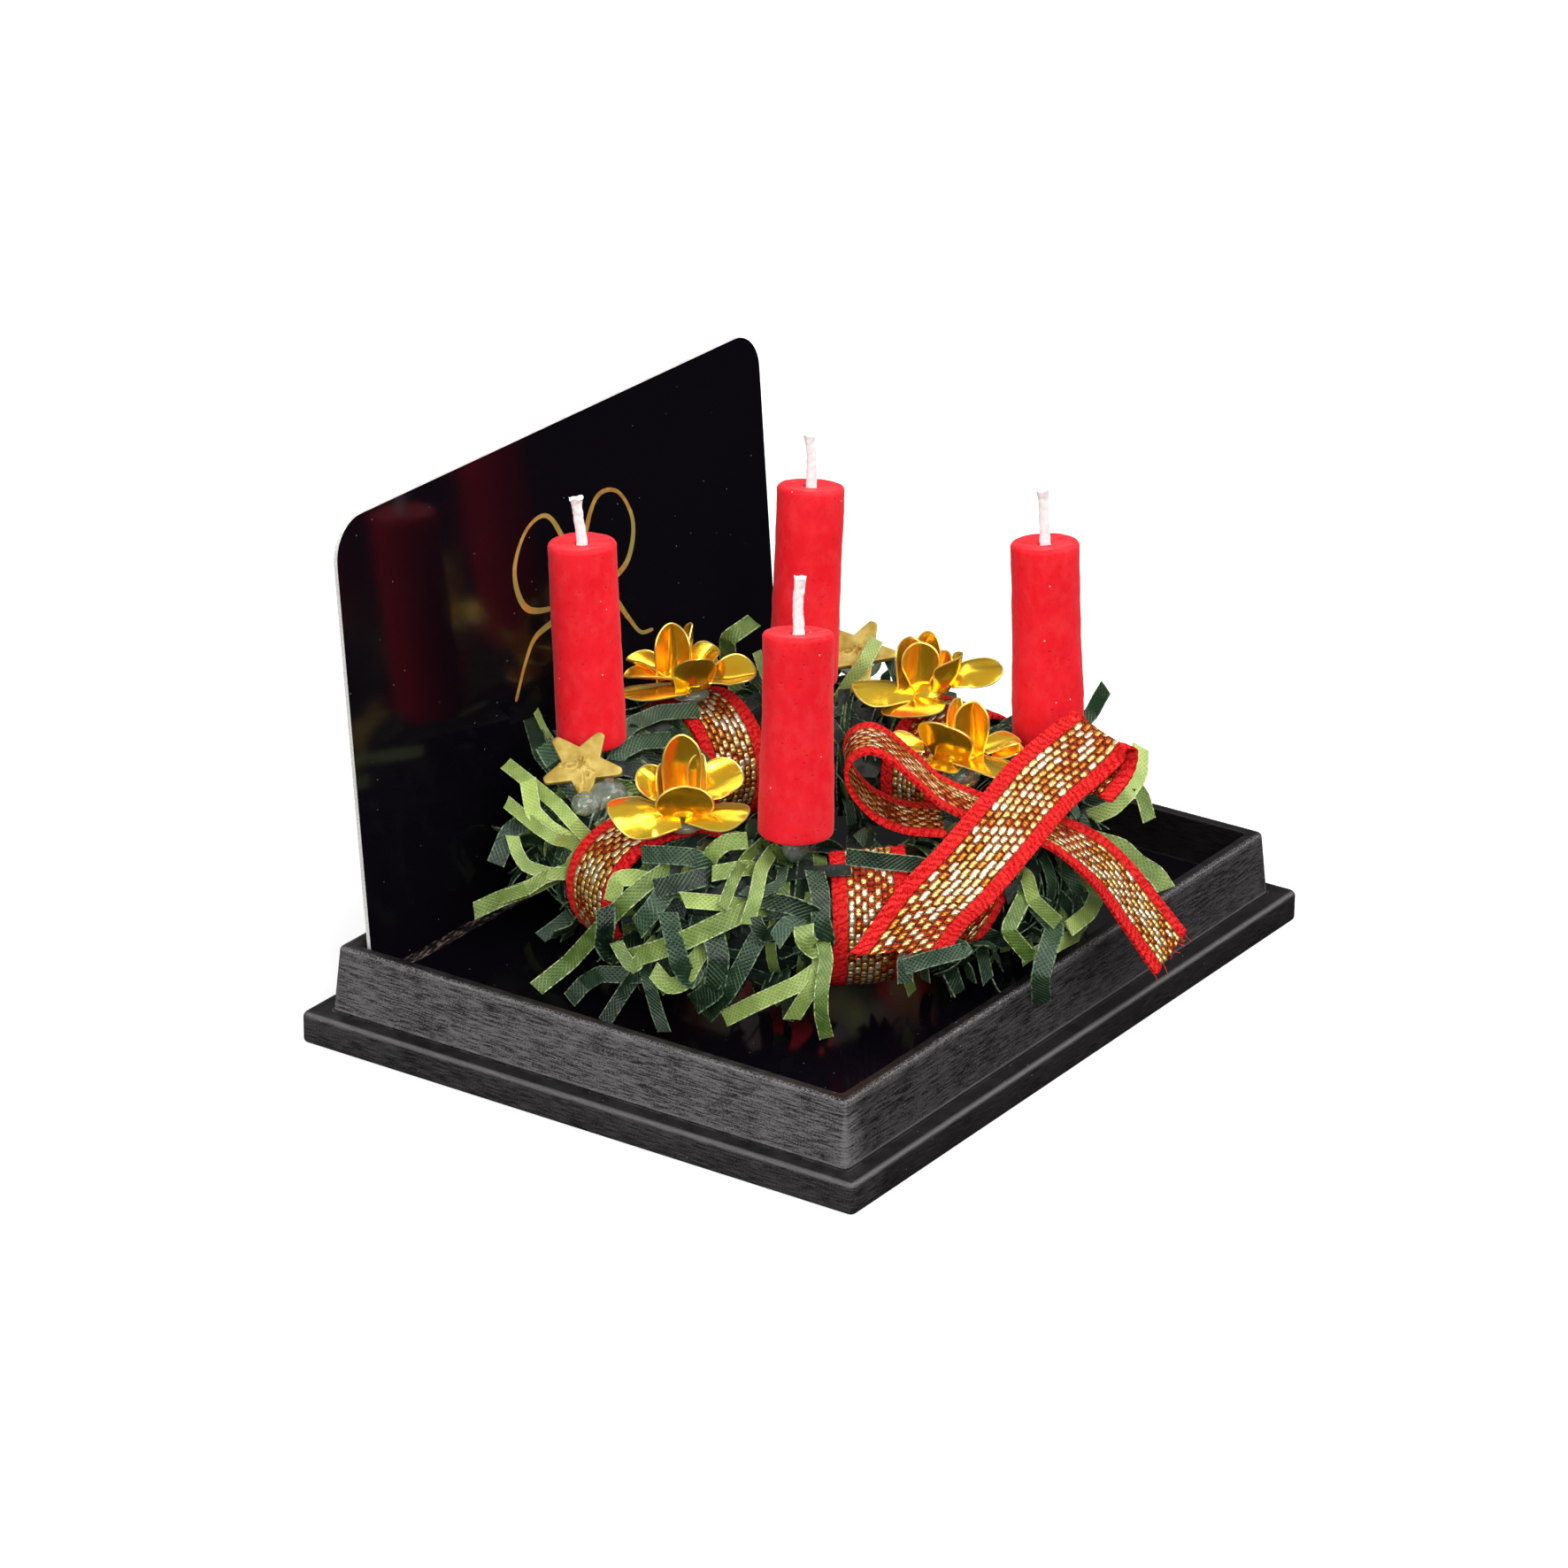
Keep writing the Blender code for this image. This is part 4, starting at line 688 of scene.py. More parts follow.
def star_look():
    """Matt pale gold with a fine sandy tooth and scuffed spots."""
    look = Look("pale_gold_foil")
    wide = look.noise(1.2, 4.0)
    tooth = look.noise(0.08, 3.0)
    look.set(Base_Color=look.mix(look.span(wide, 0.35, 0.65), (0.42, 0.28, 0.045), (0.62, 0.48, 0.13)),
             Metallic=look.span(wide, 0.3, 0.8, 0.7, 0.4), Roughness=look.span(tooth, 0.3, 0.7, 0.45, 0.6))
    look.bump(look.total(wide, look.product(tooth, 0.5)), 0.05, 0.6)
    return look.material


def glue_look():
    """Set hot glue: milky and clear, with small bubbles."""
    look = Look("clear_glue")
    cloud = look.noise(1.2, 2.0)
    look.set(Base_Color=look.mix(look.span(cloud, 0.35, 0.65), (0.6, 0.7, 0.5), (0.85, 0.92, 0.8)),
             Roughness=look.span(cloud, 0.3, 0.7, 0.06, 0.2), Transmission_Weight=0.85, IOR=1.45)
    look.bump(cloud, 0.1, 0.5)
    return look.material


def leaf_look(name, low, high, rim, hatch_shading):
    """Foil strip pressed with crossed lines, paler along its cut edges, with painted shade in the lines'
    hollows and low on the garland and a painted highlight on the lines' crests; the map is in millimetres.
    """
    look = Look(name)
    x, y, _ = look.split(look.map)
    rise = look.math("SINE", look.product(look.total(x, y), 17.0))
    fall = look.math("SINE", look.product(look.math("SUBTRACT", x, y), 17.0))
    cross = look.math("MAXIMUM", rise, look.product(fall, 0.7))
    edge = look.most(look.span(x, 0.12, 0.06), look.span(x, STRIP_MAP_WIDTH - 0.12, STRIP_MAP_WIDTH - 0.06))
    patch = look.noise(1.2, 4.0)
    drawn = look.threads(look.product(x, 9.0), look.product(y, 0.8), 1.0, 3.0)
    shade = look.total(look.product(patch, 0.45), look.product(drawn, 0.35), look.product(look.tone(), 0.8),
                       look.product(look.noise(2.6, 2.0), 0.6))
    # Painted shade: the strips grow darker toward the bottom of the garland.
    depth = look.span(look.split(look.place)[2], 5.5 * MM, 14.0 * MM, 0.45, 1.0)
    body = look.mix(look.product(look.span(shade, 0.6, 1.65), depth), low, high)
    # Painted shade in the hollows of the pressed lines and a painted highlight on their crests.
    body = look.mix(look.product(look.span(cross, 0.4, -0.6), hatch_shading), body, low)
    body = look.mix(look.product(look.span(cross, 0.7, 1.0), look.span(patch, 0.42, 0.6), hatch_shading), body, rim)
    fray = look.product(edge, look.span(look.noise(0.3, 3.0), 0.42, 0.58), 0.75)
    look.set(Base_Color=look.mix(fray, body, rim), Roughness=look.span(patch, 0.3, 0.7, 0.32, 0.5),
             Specular_IOR_Level=0.4)
    first = look.bump(look.total(cross, look.product(edge, 1.5)), 0.03, 0.6)
    look.bump(look.noise(0.8, 3.0), 0.1, 0.5, first)
    return look.material


def ribbon_look(name, fill, gold, thread, gap):
    """Woven ribbon: corded red selvages, and metallic floats like bricks over red and dark threads, with
    painted shade and highlights on the cords and floats.

    The map runs across the ribbon from 0 to its width and then along it, in millimetres.
    """
    look = Look(name)
    x, y, _ = look.split(look.map)
    waver = look.math("SUBTRACT", look.noise(1.4, 2.0), 0.5)
    across = look.math("DIVIDE", look.total(x, look.product(waver, 0.25), -SELVAGE_WIDTH), FLOAT_PITCH_ACROSS)
    row = look.math("FLOOR", across)
    shifted = look.product(look.math("FLOORED_MODULO", row, 2.0), 0.5)
    along = look.math("DIVIDE", look.total(y, look.product(waver, 0.5)), FLOAT_PITCH_ALONG)
    along = look.total(along, shifted)
    brick = look.pair(row, look.math("FLOOR", along))
    chance = look.node("ShaderNodeTexWhiteNoise", {"Vector": brick}, noise_dimensions="3D").outputs["Value"]
    u = look.math("ABSOLUTE", look.math("SUBTRACT", look.math("FRACT", across), 0.5))
    v = look.math("ABSOLUTE", look.math("SUBTRACT", look.math("FRACT", along), 0.5))
    area = look.span(look.noise(3.6, 2.0), 0.4, 0.58)
    reach = look.total(look.product(area, 0.24), look.product(chance, 0.12), fill)
    swell = look.total(look.math("POWER", look.math("DIVIDE", u, 0.44), 2.6),
                       look.math("POWER", look.math("DIVIDE", v, reach), 2.6))
    pillow = look.math("POWER", look.math("SUBTRACT", 1.0, swell, clamp=True), 0.6)
    other = RIBBON_WIDTH - SELVAGE_WIDTH
    middle = look.product(look.span(x, SELVAGE_WIDTH - 0.04, SELVAGE_WIDTH + 0.04),
                          look.span(x, other + 0.04, other - 0.04))
    present = look.span(look.total(chance, look.product(area, 0.6)), 0.06, 0.14)
    metal = look.product(look.span(pillow, 0.15, 0.35), middle, present)

    yarn = look.noise(0.07, 3.0)
    weft = look.math("ABSOLUTE", look.math("SINE", look.product(along, math.tau)))
    crossing = look.span(look.total(weft, look.product(yarn, 0.5)), 0.5, 1.0)
    open_weave = look.product(look.span(u, 0.5, 0.3), crossing)
    ground = look.mix(open_weave, gap, thread)
    glint = look.span(look.total(yarn, look.product(chance, 0.12)), 0.6, 0.7)
    ground = look.mix(look.product(glint, 0.8), ground, (0.75, 0.24, 0.02))

    edge = look.math("ABSOLUTE", look.math("SUBTRACT", x, RIBBON_WIDTH / 2))
    sway = look.product(look.math("SUBTRACT", look.noise(0.45, 3.0), 0.5), 1.1)
    slope = look.total(y, look.product(edge, 0.45), sway)
    loop = look.math("ABSOLUTE", look.math("SINE", look.product(slope, math.pi / CORD_PITCH)))
    back = look.math("SUBTRACT", edge, y)
    fibre = look.threads(look.product(slope, 5.0), look.product(back, 14.0), 1.0, 3.0)
    # Thread tone, with painted shade in the hollows between the cord's loops and a painted highlight on its
    # fullest threads.
    cord_tone_and_shade = look.total(look.product(loop, 0.25), look.product(fibre, 1.1))
    cord = look.mix(look.span(cord_tone_and_shade, 0.42, 0.7), (0.2, 0.0, 0.002), (0.88, 0.006, 0.01))
    cord = look.mix(look.product(look.span(cord_tone_and_shade, 0.7, 0.92), 0.6), cord, (1.0, 0.1, 0.07))
    cloth = look.mix(middle, cord, ground)
    # Float colour with a painted highlight: each float grows paler toward its crown and some are cream-white;
    # a few are dark brown as painted shade.
    float_colour_and_highlights = look.mix(look.span(look.total(look.product(pillow, 0.5), look.product(chance, 0.8)), 0.4, 0.9),
                     gold, (1.0, 0.76, 0.3))
    float_colour_and_highlights = look.mix(look.product(look.span(chance, 0.6, 0.8), 0.85), float_colour_and_highlights, (1.0, 0.95, 0.66))
    float_colour_and_highlights = look.mix(look.product(look.span(chance, 0.36, 0.16), 0.8), float_colour_and_highlights, (0.5, 0.12, 0.01))
    look.set(Base_Color=look.mix(metal, cloth, float_colour_and_highlights), Metallic=look.product(metal, 0.72),
             Roughness=look.span(metal, 0.0, 1.0, 0.6, 0.26), Specular_IOR_Level=0.12)
    cord_height = look.product(look.total(look.product(loop, 0.35), look.product(fibre, 1.0)),
                               look.math("SUBTRACT", 1.0, middle))
    weave_height = look.product(look.total(look.product(pillow, 0.9), look.product(open_weave, 0.25)), middle)
    look.bump(look.total(weave_height, cord_height), 0.15, 1.0)
    return look.material


def core_shade_look():
    """Near-black wound foil under the strips: painted shade between them."""
    look = Look("garland_core")
    patch = look.noise(0.7, 4.0)
    look.set(Base_Color=look.mix(look.span(patch, 0.35, 0.7), (0.002, 0.005, 0.004), (0.008, 0.02, 0.014)),
             Roughness=0.55)
    look.bump(patch, 0.2, 0.8)
    return look.material


def wire_look(name, low, high):
    """Drawn wire with fine lines along it."""
    look = Look(name)
    drawn = look.noise(0.2, 3.0, look.stretch(1.0, 1.0, 0.2))
    look.set(Base_Color=look.mix(look.span(drawn, 0.3, 0.7), low, high),
             Metallic=0.8, Roughness=look.span(drawn, 0.3, 0.7, 0.3, 0.5))
    look.bump(drawn, 0.02, 0.5)
    return look.material


# Tray and card

def make_tray(material):
    """Flange plate with rounded edges, a narrow seam round the foot of its rim, and a recess."""
    bpy.ops.mesh.primitive_cube_add(size=MM, location=(0.0, 0.0, PLATE_HEIGHT / 2 * MM))
    bpy.ops.transform.resize(value=(PLATE_LENGTH, PLATE_DEPTH, PLATE_HEIGHT))
    tray = start_piece("tray", [material])

    def inward(spot):
        return min(PLATE_LENGTH / 2 - abs(spot.x), PLATE_DEPTH / 2 - abs(spot.y))

    pick(tray, "EDGE", lambda spot, edge: abs(edge.verts[0].co.z - edge.verts[1].co.z) > MM)
    soften(0.5, 6)
    pick(tray, "FACE", lambda spot, face: face.normal.z > 0.9)
    inner, seam = RIM_TOP_INSET + RIM_THICKNESS, PLATE_HEIGHT - 0.05
    before, level = 0.0, PLATE_HEIGHT
    for inset, height in ((1.4, PLATE_HEIGHT), (1.46, seam), (RIM_FOOT_INSET, seam), (RIM_TOP_INSET, RIM_TOP),
                          (inner, RIM_TOP), (inner, RECESS_FLOOR)):
        pull(0.0, 0.0, height - level)
        bpy.ops.transform.resize(value=((PLATE_LENGTH - 2 * inset) / (PLATE_LENGTH - 2 * before),
                                        (PLATE_DEPTH - 2 * inset) / (PLATE_DEPTH - 2 * before), 1.0))
        before, level = inset, height
    for height, inset, radius, segments in ((0.0, 0.0, 0.3, 4), (PLATE_HEIGHT, 0.0, 0.4, 7),
                                            (RIM_TOP, RIM_TOP_INSET, 0.28, 6), (RIM_TOP, inner, 0.16, 5),
                                            (RECESS_FLOOR, inner, 0.1, 3)):
        pick(tray, "EDGE", lambda spot, edge: abs(spot.z - height) < 0.01 and abs(inward(spot) - inset) < 0.2)
        soften(radius, segments)
    return finish_piece(tray, "black_plastic", "display_tray", angle=28.0)


def make_card(face, edge, fold):
    """Card folded to an L, with rounded top corners, cracked lacquer along the fold and its paper showing at
    the cut edges.
    """
    middle = (CARD_FRONT_Y + CARD_FOLD_Y) / 2
    bpy.ops.mesh.primitive_plane_add(size=MM, location=(0.0, middle * MM, CARD_FLOOR_TOP * MM))
    bpy.ops.transform.resize(value=(CARD_WIDTH, CARD_FOLD_Y - CARD_FRONT_Y, 1.0))
    card = start_piece("card", [face, edge, fold, edge])
    pick(card, "EDGE", lambda spot, edge: spot.y > CARD_FOLD_Y - 0.1)
    panel = (CARD_TOP - CARD_FLOOR_TOP) / math.cos(CARD_LEAN) - 0.03
    pull(0.0, math.sin(CARD_LEAN) * panel, math.cos(CARD_LEAN) * panel)
    pick(card, "VERT", lambda spot, vert: spot.z > CARD_TOP - 1.0)
    soften(CARD_CORNER, 9, "VERTICES")
    pick(card, "EDGE", lambda spot, edge: abs(spot.y - CARD_FOLD_Y) < 0.01 and spot.z < CARD_FLOOR_TOP + 0.01)
    soften(0.45, 6, material=2)
    bpy.ops.object.mode_set(mode="OBJECT")
    sheet = card.modifiers.new("sheet", "SOLIDIFY")
    sheet.thickness, sheet.offset, sheet.use_even_offset = CARD_THICKNESS * MM, -1.0, True
    sheet.material_offset_rim = 1
    bpy.ops.object.modifier_apply(modifier="sheet")
    return finish_piece(card, "black_card", "backdrop_card")


def on_card(across, along, ahead):
    """Points on the upright panel of the card, a little ahead of its face."""
    sine, cosine = math.sin(CARD_LEAN), math.cos(CARD_LEAN)
    return np.stack((across, CARD_FOLD_Y + along * sine - ahead * cosine,
                     CARD_FLOOR_TOP + along * cosine + ahead * sine), axis=-1)


def make_ornament(line):
    """Stamped lines of a tied ribbon bow on the card."""
    shells = Shells()
    for turn in ornament():
        path = resample(curve(turn, 10), 8 * len(turn))
        run = directions(path)
        side = np.stack((-run[:, 1], run[:, 0]), axis=1)
        width = 0.21 + 0.06 * np.sin(lengths(path) * 0.5)
        width[[0, -1]] *= 0.5
        grid = path[:, None, :] + side[:, None, :] * (width[:, None] * np.array((1.0, 0.0, -1.0)))[..., None]
        top, low = (on_card(grid[..., 0], grid[..., 1], ahead) for ahead in (0.03, 0.004))
        shells.sheet(top, low, grid)
    return shells.close("card_ornament", [line], "black_card")


def ornament():
    """Lines of a plain tied bow, in X and up the card: two loops, two tails and a knot."""
    left = ((1.6, 21.6), (0.2, 25.2), (-1.8, 28.0), (-4.4, 27.6), (-6.1, 25.0), (-5.2, 22.0), (-2.2, 20.9),
            (1.0, 21.2))
    right = ((1.9, 21.6), (2.6, 25.0), (4.4, 27.6), (7.0, 27.2), (8.6, 24.4), (7.6, 21.6), (4.8, 20.7),
             (2.2, 21.2))
    left_tail = ((1.4, 21.0), (-1.6, 19.9), (-4.2, 19.3), (-5.6, 17.8), (-7.1, 15.2))
    right_tail = ((2.0, 21.0), (5.2, 19.6), (7.2, 17.2), (8.6, 15.6), (10.2, 15.3))
    knot = [(1.7 + 0.8 * math.cos(a), 21.4 + 0.6 * math.sin(a)) for a in np.linspace(0.0, math.tau, 9)]
    return left, right, left_tail, right_tail, knot


# Candles and wicks

def candle_places(name):
    """Foot and axis of a candle."""
    (x, y), drift, foot = CANDLES[name][:3]
    base = np.array((x, y, foot)) + PHOTO_RIGHT * drift
    return base, unit(np.array((x, y, CANDLE_TOP)) - base)


def frame_of(axis):
    """Two directions square to an axis."""
    side = unit(np.cross(axis, (0.3, 0.9, 0.1)))
    return side, np.cross(axis, side)


def ring_points(centres, radii, sides, axis):
    """Rings round an axis: one centre for each row, and a radius for each point."""
    angle = np.linspace(0.0, math.tau, sides, endpoint=False)
    a, b = frame_of(axis)
    wheel = np.cos(angle)[:, None] * a + np.sin(angle)[:, None] * b
    return centres[:, None, :] + radii[..., None] * wheel[None]


def make_candle(name, material):
    """Hand-cut candle: soft rims, a cut top at its own tilt with a hole for the wick, and an uneven skin."""
    foot_radius, (slope_x, slope_y) = CANDLES[name][3], CANDLES[name][4]
    base, axis = candle_places(name)
    length = CANDLE_TOP - CANDLES[name][2]
    seed = len(name) + ord(name[0])
    bpy.ops.mesh.primitive_cylinder_add(vertices=CANDLE_SIDES, radius=CANDLE_RADIUS * MM, depth=length * MM,
                                        location=(0.0, 0.0, length / 2 * MM))
    candle = start_piece(f"candle_{name}_wax", [material])
    pick(candle, "EDGE", lambda spot, edge: spot.z > length - 0.01)
    soften(0.32, 7)
    pick(candle, "EDGE", lambda spot, edge: spot.z < 0.01)
    soften(0.2, 5)
    pick(candle, "EDGE", lambda spot, edge: abs(edge.verts[0].co.z - edge.verts[1].co.z) > 3 * MM)
    bpy.ops.mesh.subdivide(number_cuts=44)
    pick(candle, "FACE", lambda spot, face: spot.z > length - 0.01 and spot.xy.length < 0.1)
    for inset, drop in ((0.18, 0.0), (0.25, 0.02), (0.25, 0.03), (0.25, 0.02), (0.25, 0.01), (0.25, -0.02),
                        (0.17, 0.06), (0.08, 0.28)):
        bpy.ops.mesh.inset(thickness=inset * MM, depth=-drop * MM)
    pull(0.0, 0.0, -1.2)
    bpy.ops.object.mode_set(mode="OBJECT")

    points = np.array([vert.co for vert in candle.data.vertices]) / MM
    height, reach = points[:, 2:], np.hypot(points[:, 0], points[:, 1])[:, None]
    blend = smooth_step(height, 2.5, length * 0.6)
    side, level = frame_of(axis)
    radius = foot_radius + (CANDLE_RADIUS - foot_radius) * blend
    out = (points[:, :1] * side + points[:, 1:2] * level) * radius / CANDLE_RADIUS
    centre = base + axis * height
    skin = 0.045 * rough(centre + out, 0.55, seed) + 0.02 * rough(centre + out, 2.2, seed + 3)
    out = out * (1 + skin[:, None] * np.clip(reach - 1.2, 0.0, 1.0) / np.maximum(reach, 0.3))
    lift = np.clip((height / length - 0.9) / 0.1, 0.0, 1.0) * (out[:, :1] * slope_x + out[:, 1:2] * slope_y)
    chip = 0.05 * rough(centre + out, 1.6, seed + 9)[:, None] * (height > length - 0.4)
    placed = centre + out + axis * (lift + chip)
    candle.data.vertices.foreach_set("co", (placed * MM).ravel())
    return finish_piece(candle, "red_wax", f"candle_{name}", angle=60.0)


def make_wick(name, material):
    """Twisted yarn of three plies that leans a little and is frayed at its cut end."""
    base, axis = candle_places(name)
    length, showing = CANDLE_TOP - CANDLES[name][2], CANDLES[name][5]
    seed = ord(name[0])
    rows, sides = 64, 30
    t = np.linspace(0.0, 1.0, rows)
    along = length - WICK_ROOT + (showing + WICK_ROOT) * t
    lean, swing, flare = WICKS[name]
    free = np.clip((along - length) / showing, 0.0, 1.0)
    drift = lean * free + swing * np.sin(free * math.pi) * 0.4
    path = base + axis * along[:, None] + PHOTO_RIGHT * drift[:, None]
    angle = np.linspace(0.0, math.tau, sides, endpoint=False)[None, :]
    ply = np.abs(np.cos(1.5 * (angle - along[:, None] * 0.7)))
    waist = 0.92 - 0.1 * np.sin(free * math.pi)[:, None]
    crown = 1 + flare * np.clip((free - 0.86) / 0.14, 0.0, 1.0)[:, None] ** 1.5
    radii = WICK_RADIUS * waist * (0.86 + 0.14 * ply) * crown
    rings = ring_points(path, radii, sides, axis)
    fuzz = rough(rings, 3.0, seed) * 0.05
    rings = rings + unit(rings - path[:, None, :]) * fuzz[..., None]
    fray = (rough(rings, 2.4, seed + 1) * 0.22 + 0.05) * (free > 0.93)[:, None]
    rings = rings + axis * fray[..., None]
    dome = path[-1] + (rings[-1] - path[-1]) * np.array((0.62, 0.25))[:, None, None]
    dome = dome - axis * np.array((0.05, 0.12))[:, None, None]
    shells = Shells()
    shells.tube(np.concatenate((rings, dome)))
    return shells.close(f"wick_{name}_yarn", [material], "cotton", f"wick_{name}", angle=70.0)


# Ribbon

def ribbon_solid(shells, middle, sides, normals, along, closed=False, slant=0.0, seed=0):
    """Woven strip with corded selvages round a row of centres."""
    across = np.linspace(-1.0, 1.0, RIBBON_COLUMNS)
    shape = (len(middle), RIBBON_COLUMNS)
    half = RIBBON_WIDTH / 2
    edge = np.clip((np.abs(across) - 0.6) / 0.12, 0.0, 1.0) * np.clip((1.0 - np.abs(across)) / 0.05, 0.2, 1.0)
    twill = np.sin(11.6 * (along[:, None] + np.abs(across)[None, :] * half * 0.5))
    thick = 0.11 + 0.075 * edge[None, :] + 0.016 * twill * edge[None, :]
    thick = np.broadcast_to(thick, shape).copy()
    scallop = 1.0 + 0.01 * np.sin(along * 12.0)[:, None] * (np.abs(across) > 0.9)[None, :]
    reach = across[None, :] * half * scallop
    if slant:
        ease = np.clip(1.0 - along / 9.0, 0.0, 1.0)[:, None]
        run = directions(middle)
        shift = run[:, None, :] * (-slant * across[None, :] * ease)[..., None]
    else:
        shift = 0.0
    if normals.ndim == 2:
        normals = normals[:, None, :]
    if sides.ndim == 2:
        grid = middle[:, None, :] + sides[:, None, :] * reach[..., None] + shift
    else:
        grid = sides
    if not closed:
        ends = np.minimum(along, along[-1] - along)
        spots = np.broadcast_to(across[None, :, None] * (6.0, 0, 0) + (0, 0, seed), (*shape, 3))
        ragged = np.exp(-ends / 0.35)[:, None] * rough(spots.copy(), 1.0, seed)
        direction = directions(middle)[:, None, :]
        sign = np.where(along < along[-1] / 2, -1.0, 1.0)[:, None]
        grid = grid + direction * (ragged * 0.3 * sign)[..., None]
        thick *= np.clip(0.55 + ends / 0.5, 0.55, 1.0)[:, None]
    crumple = 0.05 * rough(grid, 0.5, seed)
    centre = grid + normals * crumple[..., None]
    along_map = np.concatenate((along, [along[-1] + along[1]])) if closed else along
    maps = np.stack(np.broadcast_arrays((across * half + half)[None, :], along_map[:, None]), axis=-1)
    shells.sheet(centre + normals * thick[..., None], centre - normals * thick[..., None], maps, (0, 1, 0),
                 closed)
    return centre


def stray_threads(shells, spots, direction, normal, draw, count):
    """Loose thread ends at a cut edge."""
    for _ in range(count):
        start = spots[draw.randrange(len(spots))] + normal * draw.uniform(-0.08, 0.08)
        bend = np.array([draw.uniform(-0.6, 0.6) for _ in range(3)])
        reach = draw.uniform(0.2, 0.5)
        path = curve([start - direction * 0.25, start + direction * reach * 0.5,
                      start + (direction + bend) * reach], 4)
        pipe(shells, path, np.linspace(0.05, 0.02, len(path)), look=2)


def make_bow(name, stations, slant, materials, seed):
    """One ribbon of the bow along its stations."""
    centres = curve([centre for centre, _ in stations], 16)
    widthwise = curve([side for _, side in stations], 16)
    count = int(lengths(centres)[-1] / 0.14)
    both = resample(np.hstack((centres, widthwise)), count)
    middle, side = both[:, :3], unit(both[:, 3:])
    run = directions(middle)
    side = unit(side - run * np.sum(side * run, axis=1, keepdims=True))
    face = unit(np.cross(run, side))
    along = lengths(middle)
    shells = Shells()
    flip = -1.0 if name == "bow_back" else 1.0
    grid = ribbon_solid(shells, middle, side, face * flip, along, slant=slant, seed=seed)
    draw = random.Random(seed)
    stray_threads(shells, grid[0], -run[0], face[0], draw, 9)
    return shells.close(f"{name}_ribbon", materials, "red_gold_ribbon", name, angle=60.0)


def make_wrap(name, materials, seed):
    """Ribbon round the garland's tube."""
    degrees, lean, swirl, start, end = WRAPS[name]
    closed = end - start == 360.0
    count = int(math.radians(end - start) * WRAP_RADIUS / 0.16)
    phi = np.radians(np.linspace(start, end, count, endpoint=not closed))
    across = np.linspace(-1.0, 1.0, RIBBON_COLUMNS)
    offset = across[None, :] * RIBBON_WIDTH / 2
    radius = WRAP_RADIUS + RIBBON_THICKNESS / 2
    p = phi[:, None]
    reach = RING_RADIUS + WRAP_RADIUS * np.cos(p)
    along = (phi - phi[0]) * radius
    border = (np.abs(across) > 0.9) * np.sign(across)
    ripple = 0.035 * np.sin(along[:, None] * 12.0) * border[None, :]
    theta = math.radians(degrees) + (offset + ripple + lean * np.cos(p) + swirl * np.sin(p)) / reach
    bulge = radius + 0.1 * (1 - across[None, :] ** 2) * np.ones_like(p) - 0.05
    away = RING_RADIUS + bulge * np.cos(p)
    grid = np.stack((away * np.cos(theta), away * np.sin(theta), RING_HEIGHT + bulge * np.sin(p)), axis=-1)
    normal = np.stack((np.cos(p) * np.cos(theta), np.cos(p) * np.sin(theta),
                       np.sin(p) * np.ones_like(theta)), axis=-1)
    shells = Shells()
    ribbon_solid(shells, grid.mean(axis=1), grid, normal, along, closed, seed=seed)
    return shells.close(f"wrap_{name}_ribbon", materials, "red_gold_ribbon", f"ribbon_wrap_{name}",
                        angle=60.0)


# Flowers, stars and glue

def petal(shells, root, turn, first, last, length, width, cup, roll, neck, seed):
    """Broad foil petal that turns from its first rise to its last, cupped and rolled; its rim is beaded."""
    columns, widest = 17, 0.6
    s = np.concatenate((np.linspace(0.0, widest, 10)[:-1],
                        widest + (1.0 - widest) * np.sin(np.linspace(0.0, math.pi / 2, 10))))
    rise = np.radians(first + (last - first) * s ** 1.2)
    steps = np.diff(s) * length
    middle_rise = (rise[1:] + rise[:-1]) / 2
    out = np.concatenate(((0.0,), np.cumsum(np.cos(middle_rise) * steps)))
    up = np.concatenate(((0.0,), np.cumsum(np.sin(middle_rise) * steps)))
    outward, level = level_pair(turn)
    middle = root + outward * out[:, None] + UP * up[:, None]
    over = UP * np.cos(rise)[:, None] - outward * np.sin(rise)[:, None]
    tilt = (math.radians(roll) * np.clip(s * 2.5, 0.0, 1.0))[:, None]
    side, normal = level * np.cos(tilt) + over * np.sin(tilt), over * np.cos(tilt) - level * np.sin(tilt)
    spread = neck + (1.0 - neck) * smooth_step(s, 0.0, widest)
    spread *= np.sqrt(np.clip(1.0 - np.clip((s - widest) / (1.0 - widest), 0.0, 1.0) ** 2.3, 0.003, 1.0))
    across = np.sin(np.linspace(-math.pi / 2, math.pi / 2, columns))
    half = (width / 2 * spread)[:, None] * across[None, :]
    bowl = cup * (half ** 2) * 2.0 / width
    grid = middle[:, None, :] + side[:, None, :] * half[..., None] + normal[:, None, :] * bowl[..., None]
    fold = np.exp(-((half + 0.15 * width * math.sin(seed * 2.1)) / 0.35) ** 2)
    dents = 0.09 * rough(grid, 0.6, seed) * s[:, None] - 0.1 * fold * s[:, None]
    grid = grid + normal[:, None, :] * dents[..., None]
    away = unit(np.cross(np.gradient(grid, axis=0), np.gradient(grid, axis=1)))
    maps = np.stack(np.broadcast_arrays(across[None, :], s[:, None]), axis=-1)
    shells.sheet(grid + away * PETAL_HALF_THICKNESS, grid - away * PETAL_HALF_THICKNESS, maps, (0, 1, 2))
    rim = np.concatenate((grid[1:, 0], grid[-1, 1:-1], grid[:0:-1, -1]))
    # The bead takes the paler rim finish: a painted highlight.
    pipe(shells, resample(rim, 44), PETAL_BEAD, look=2)


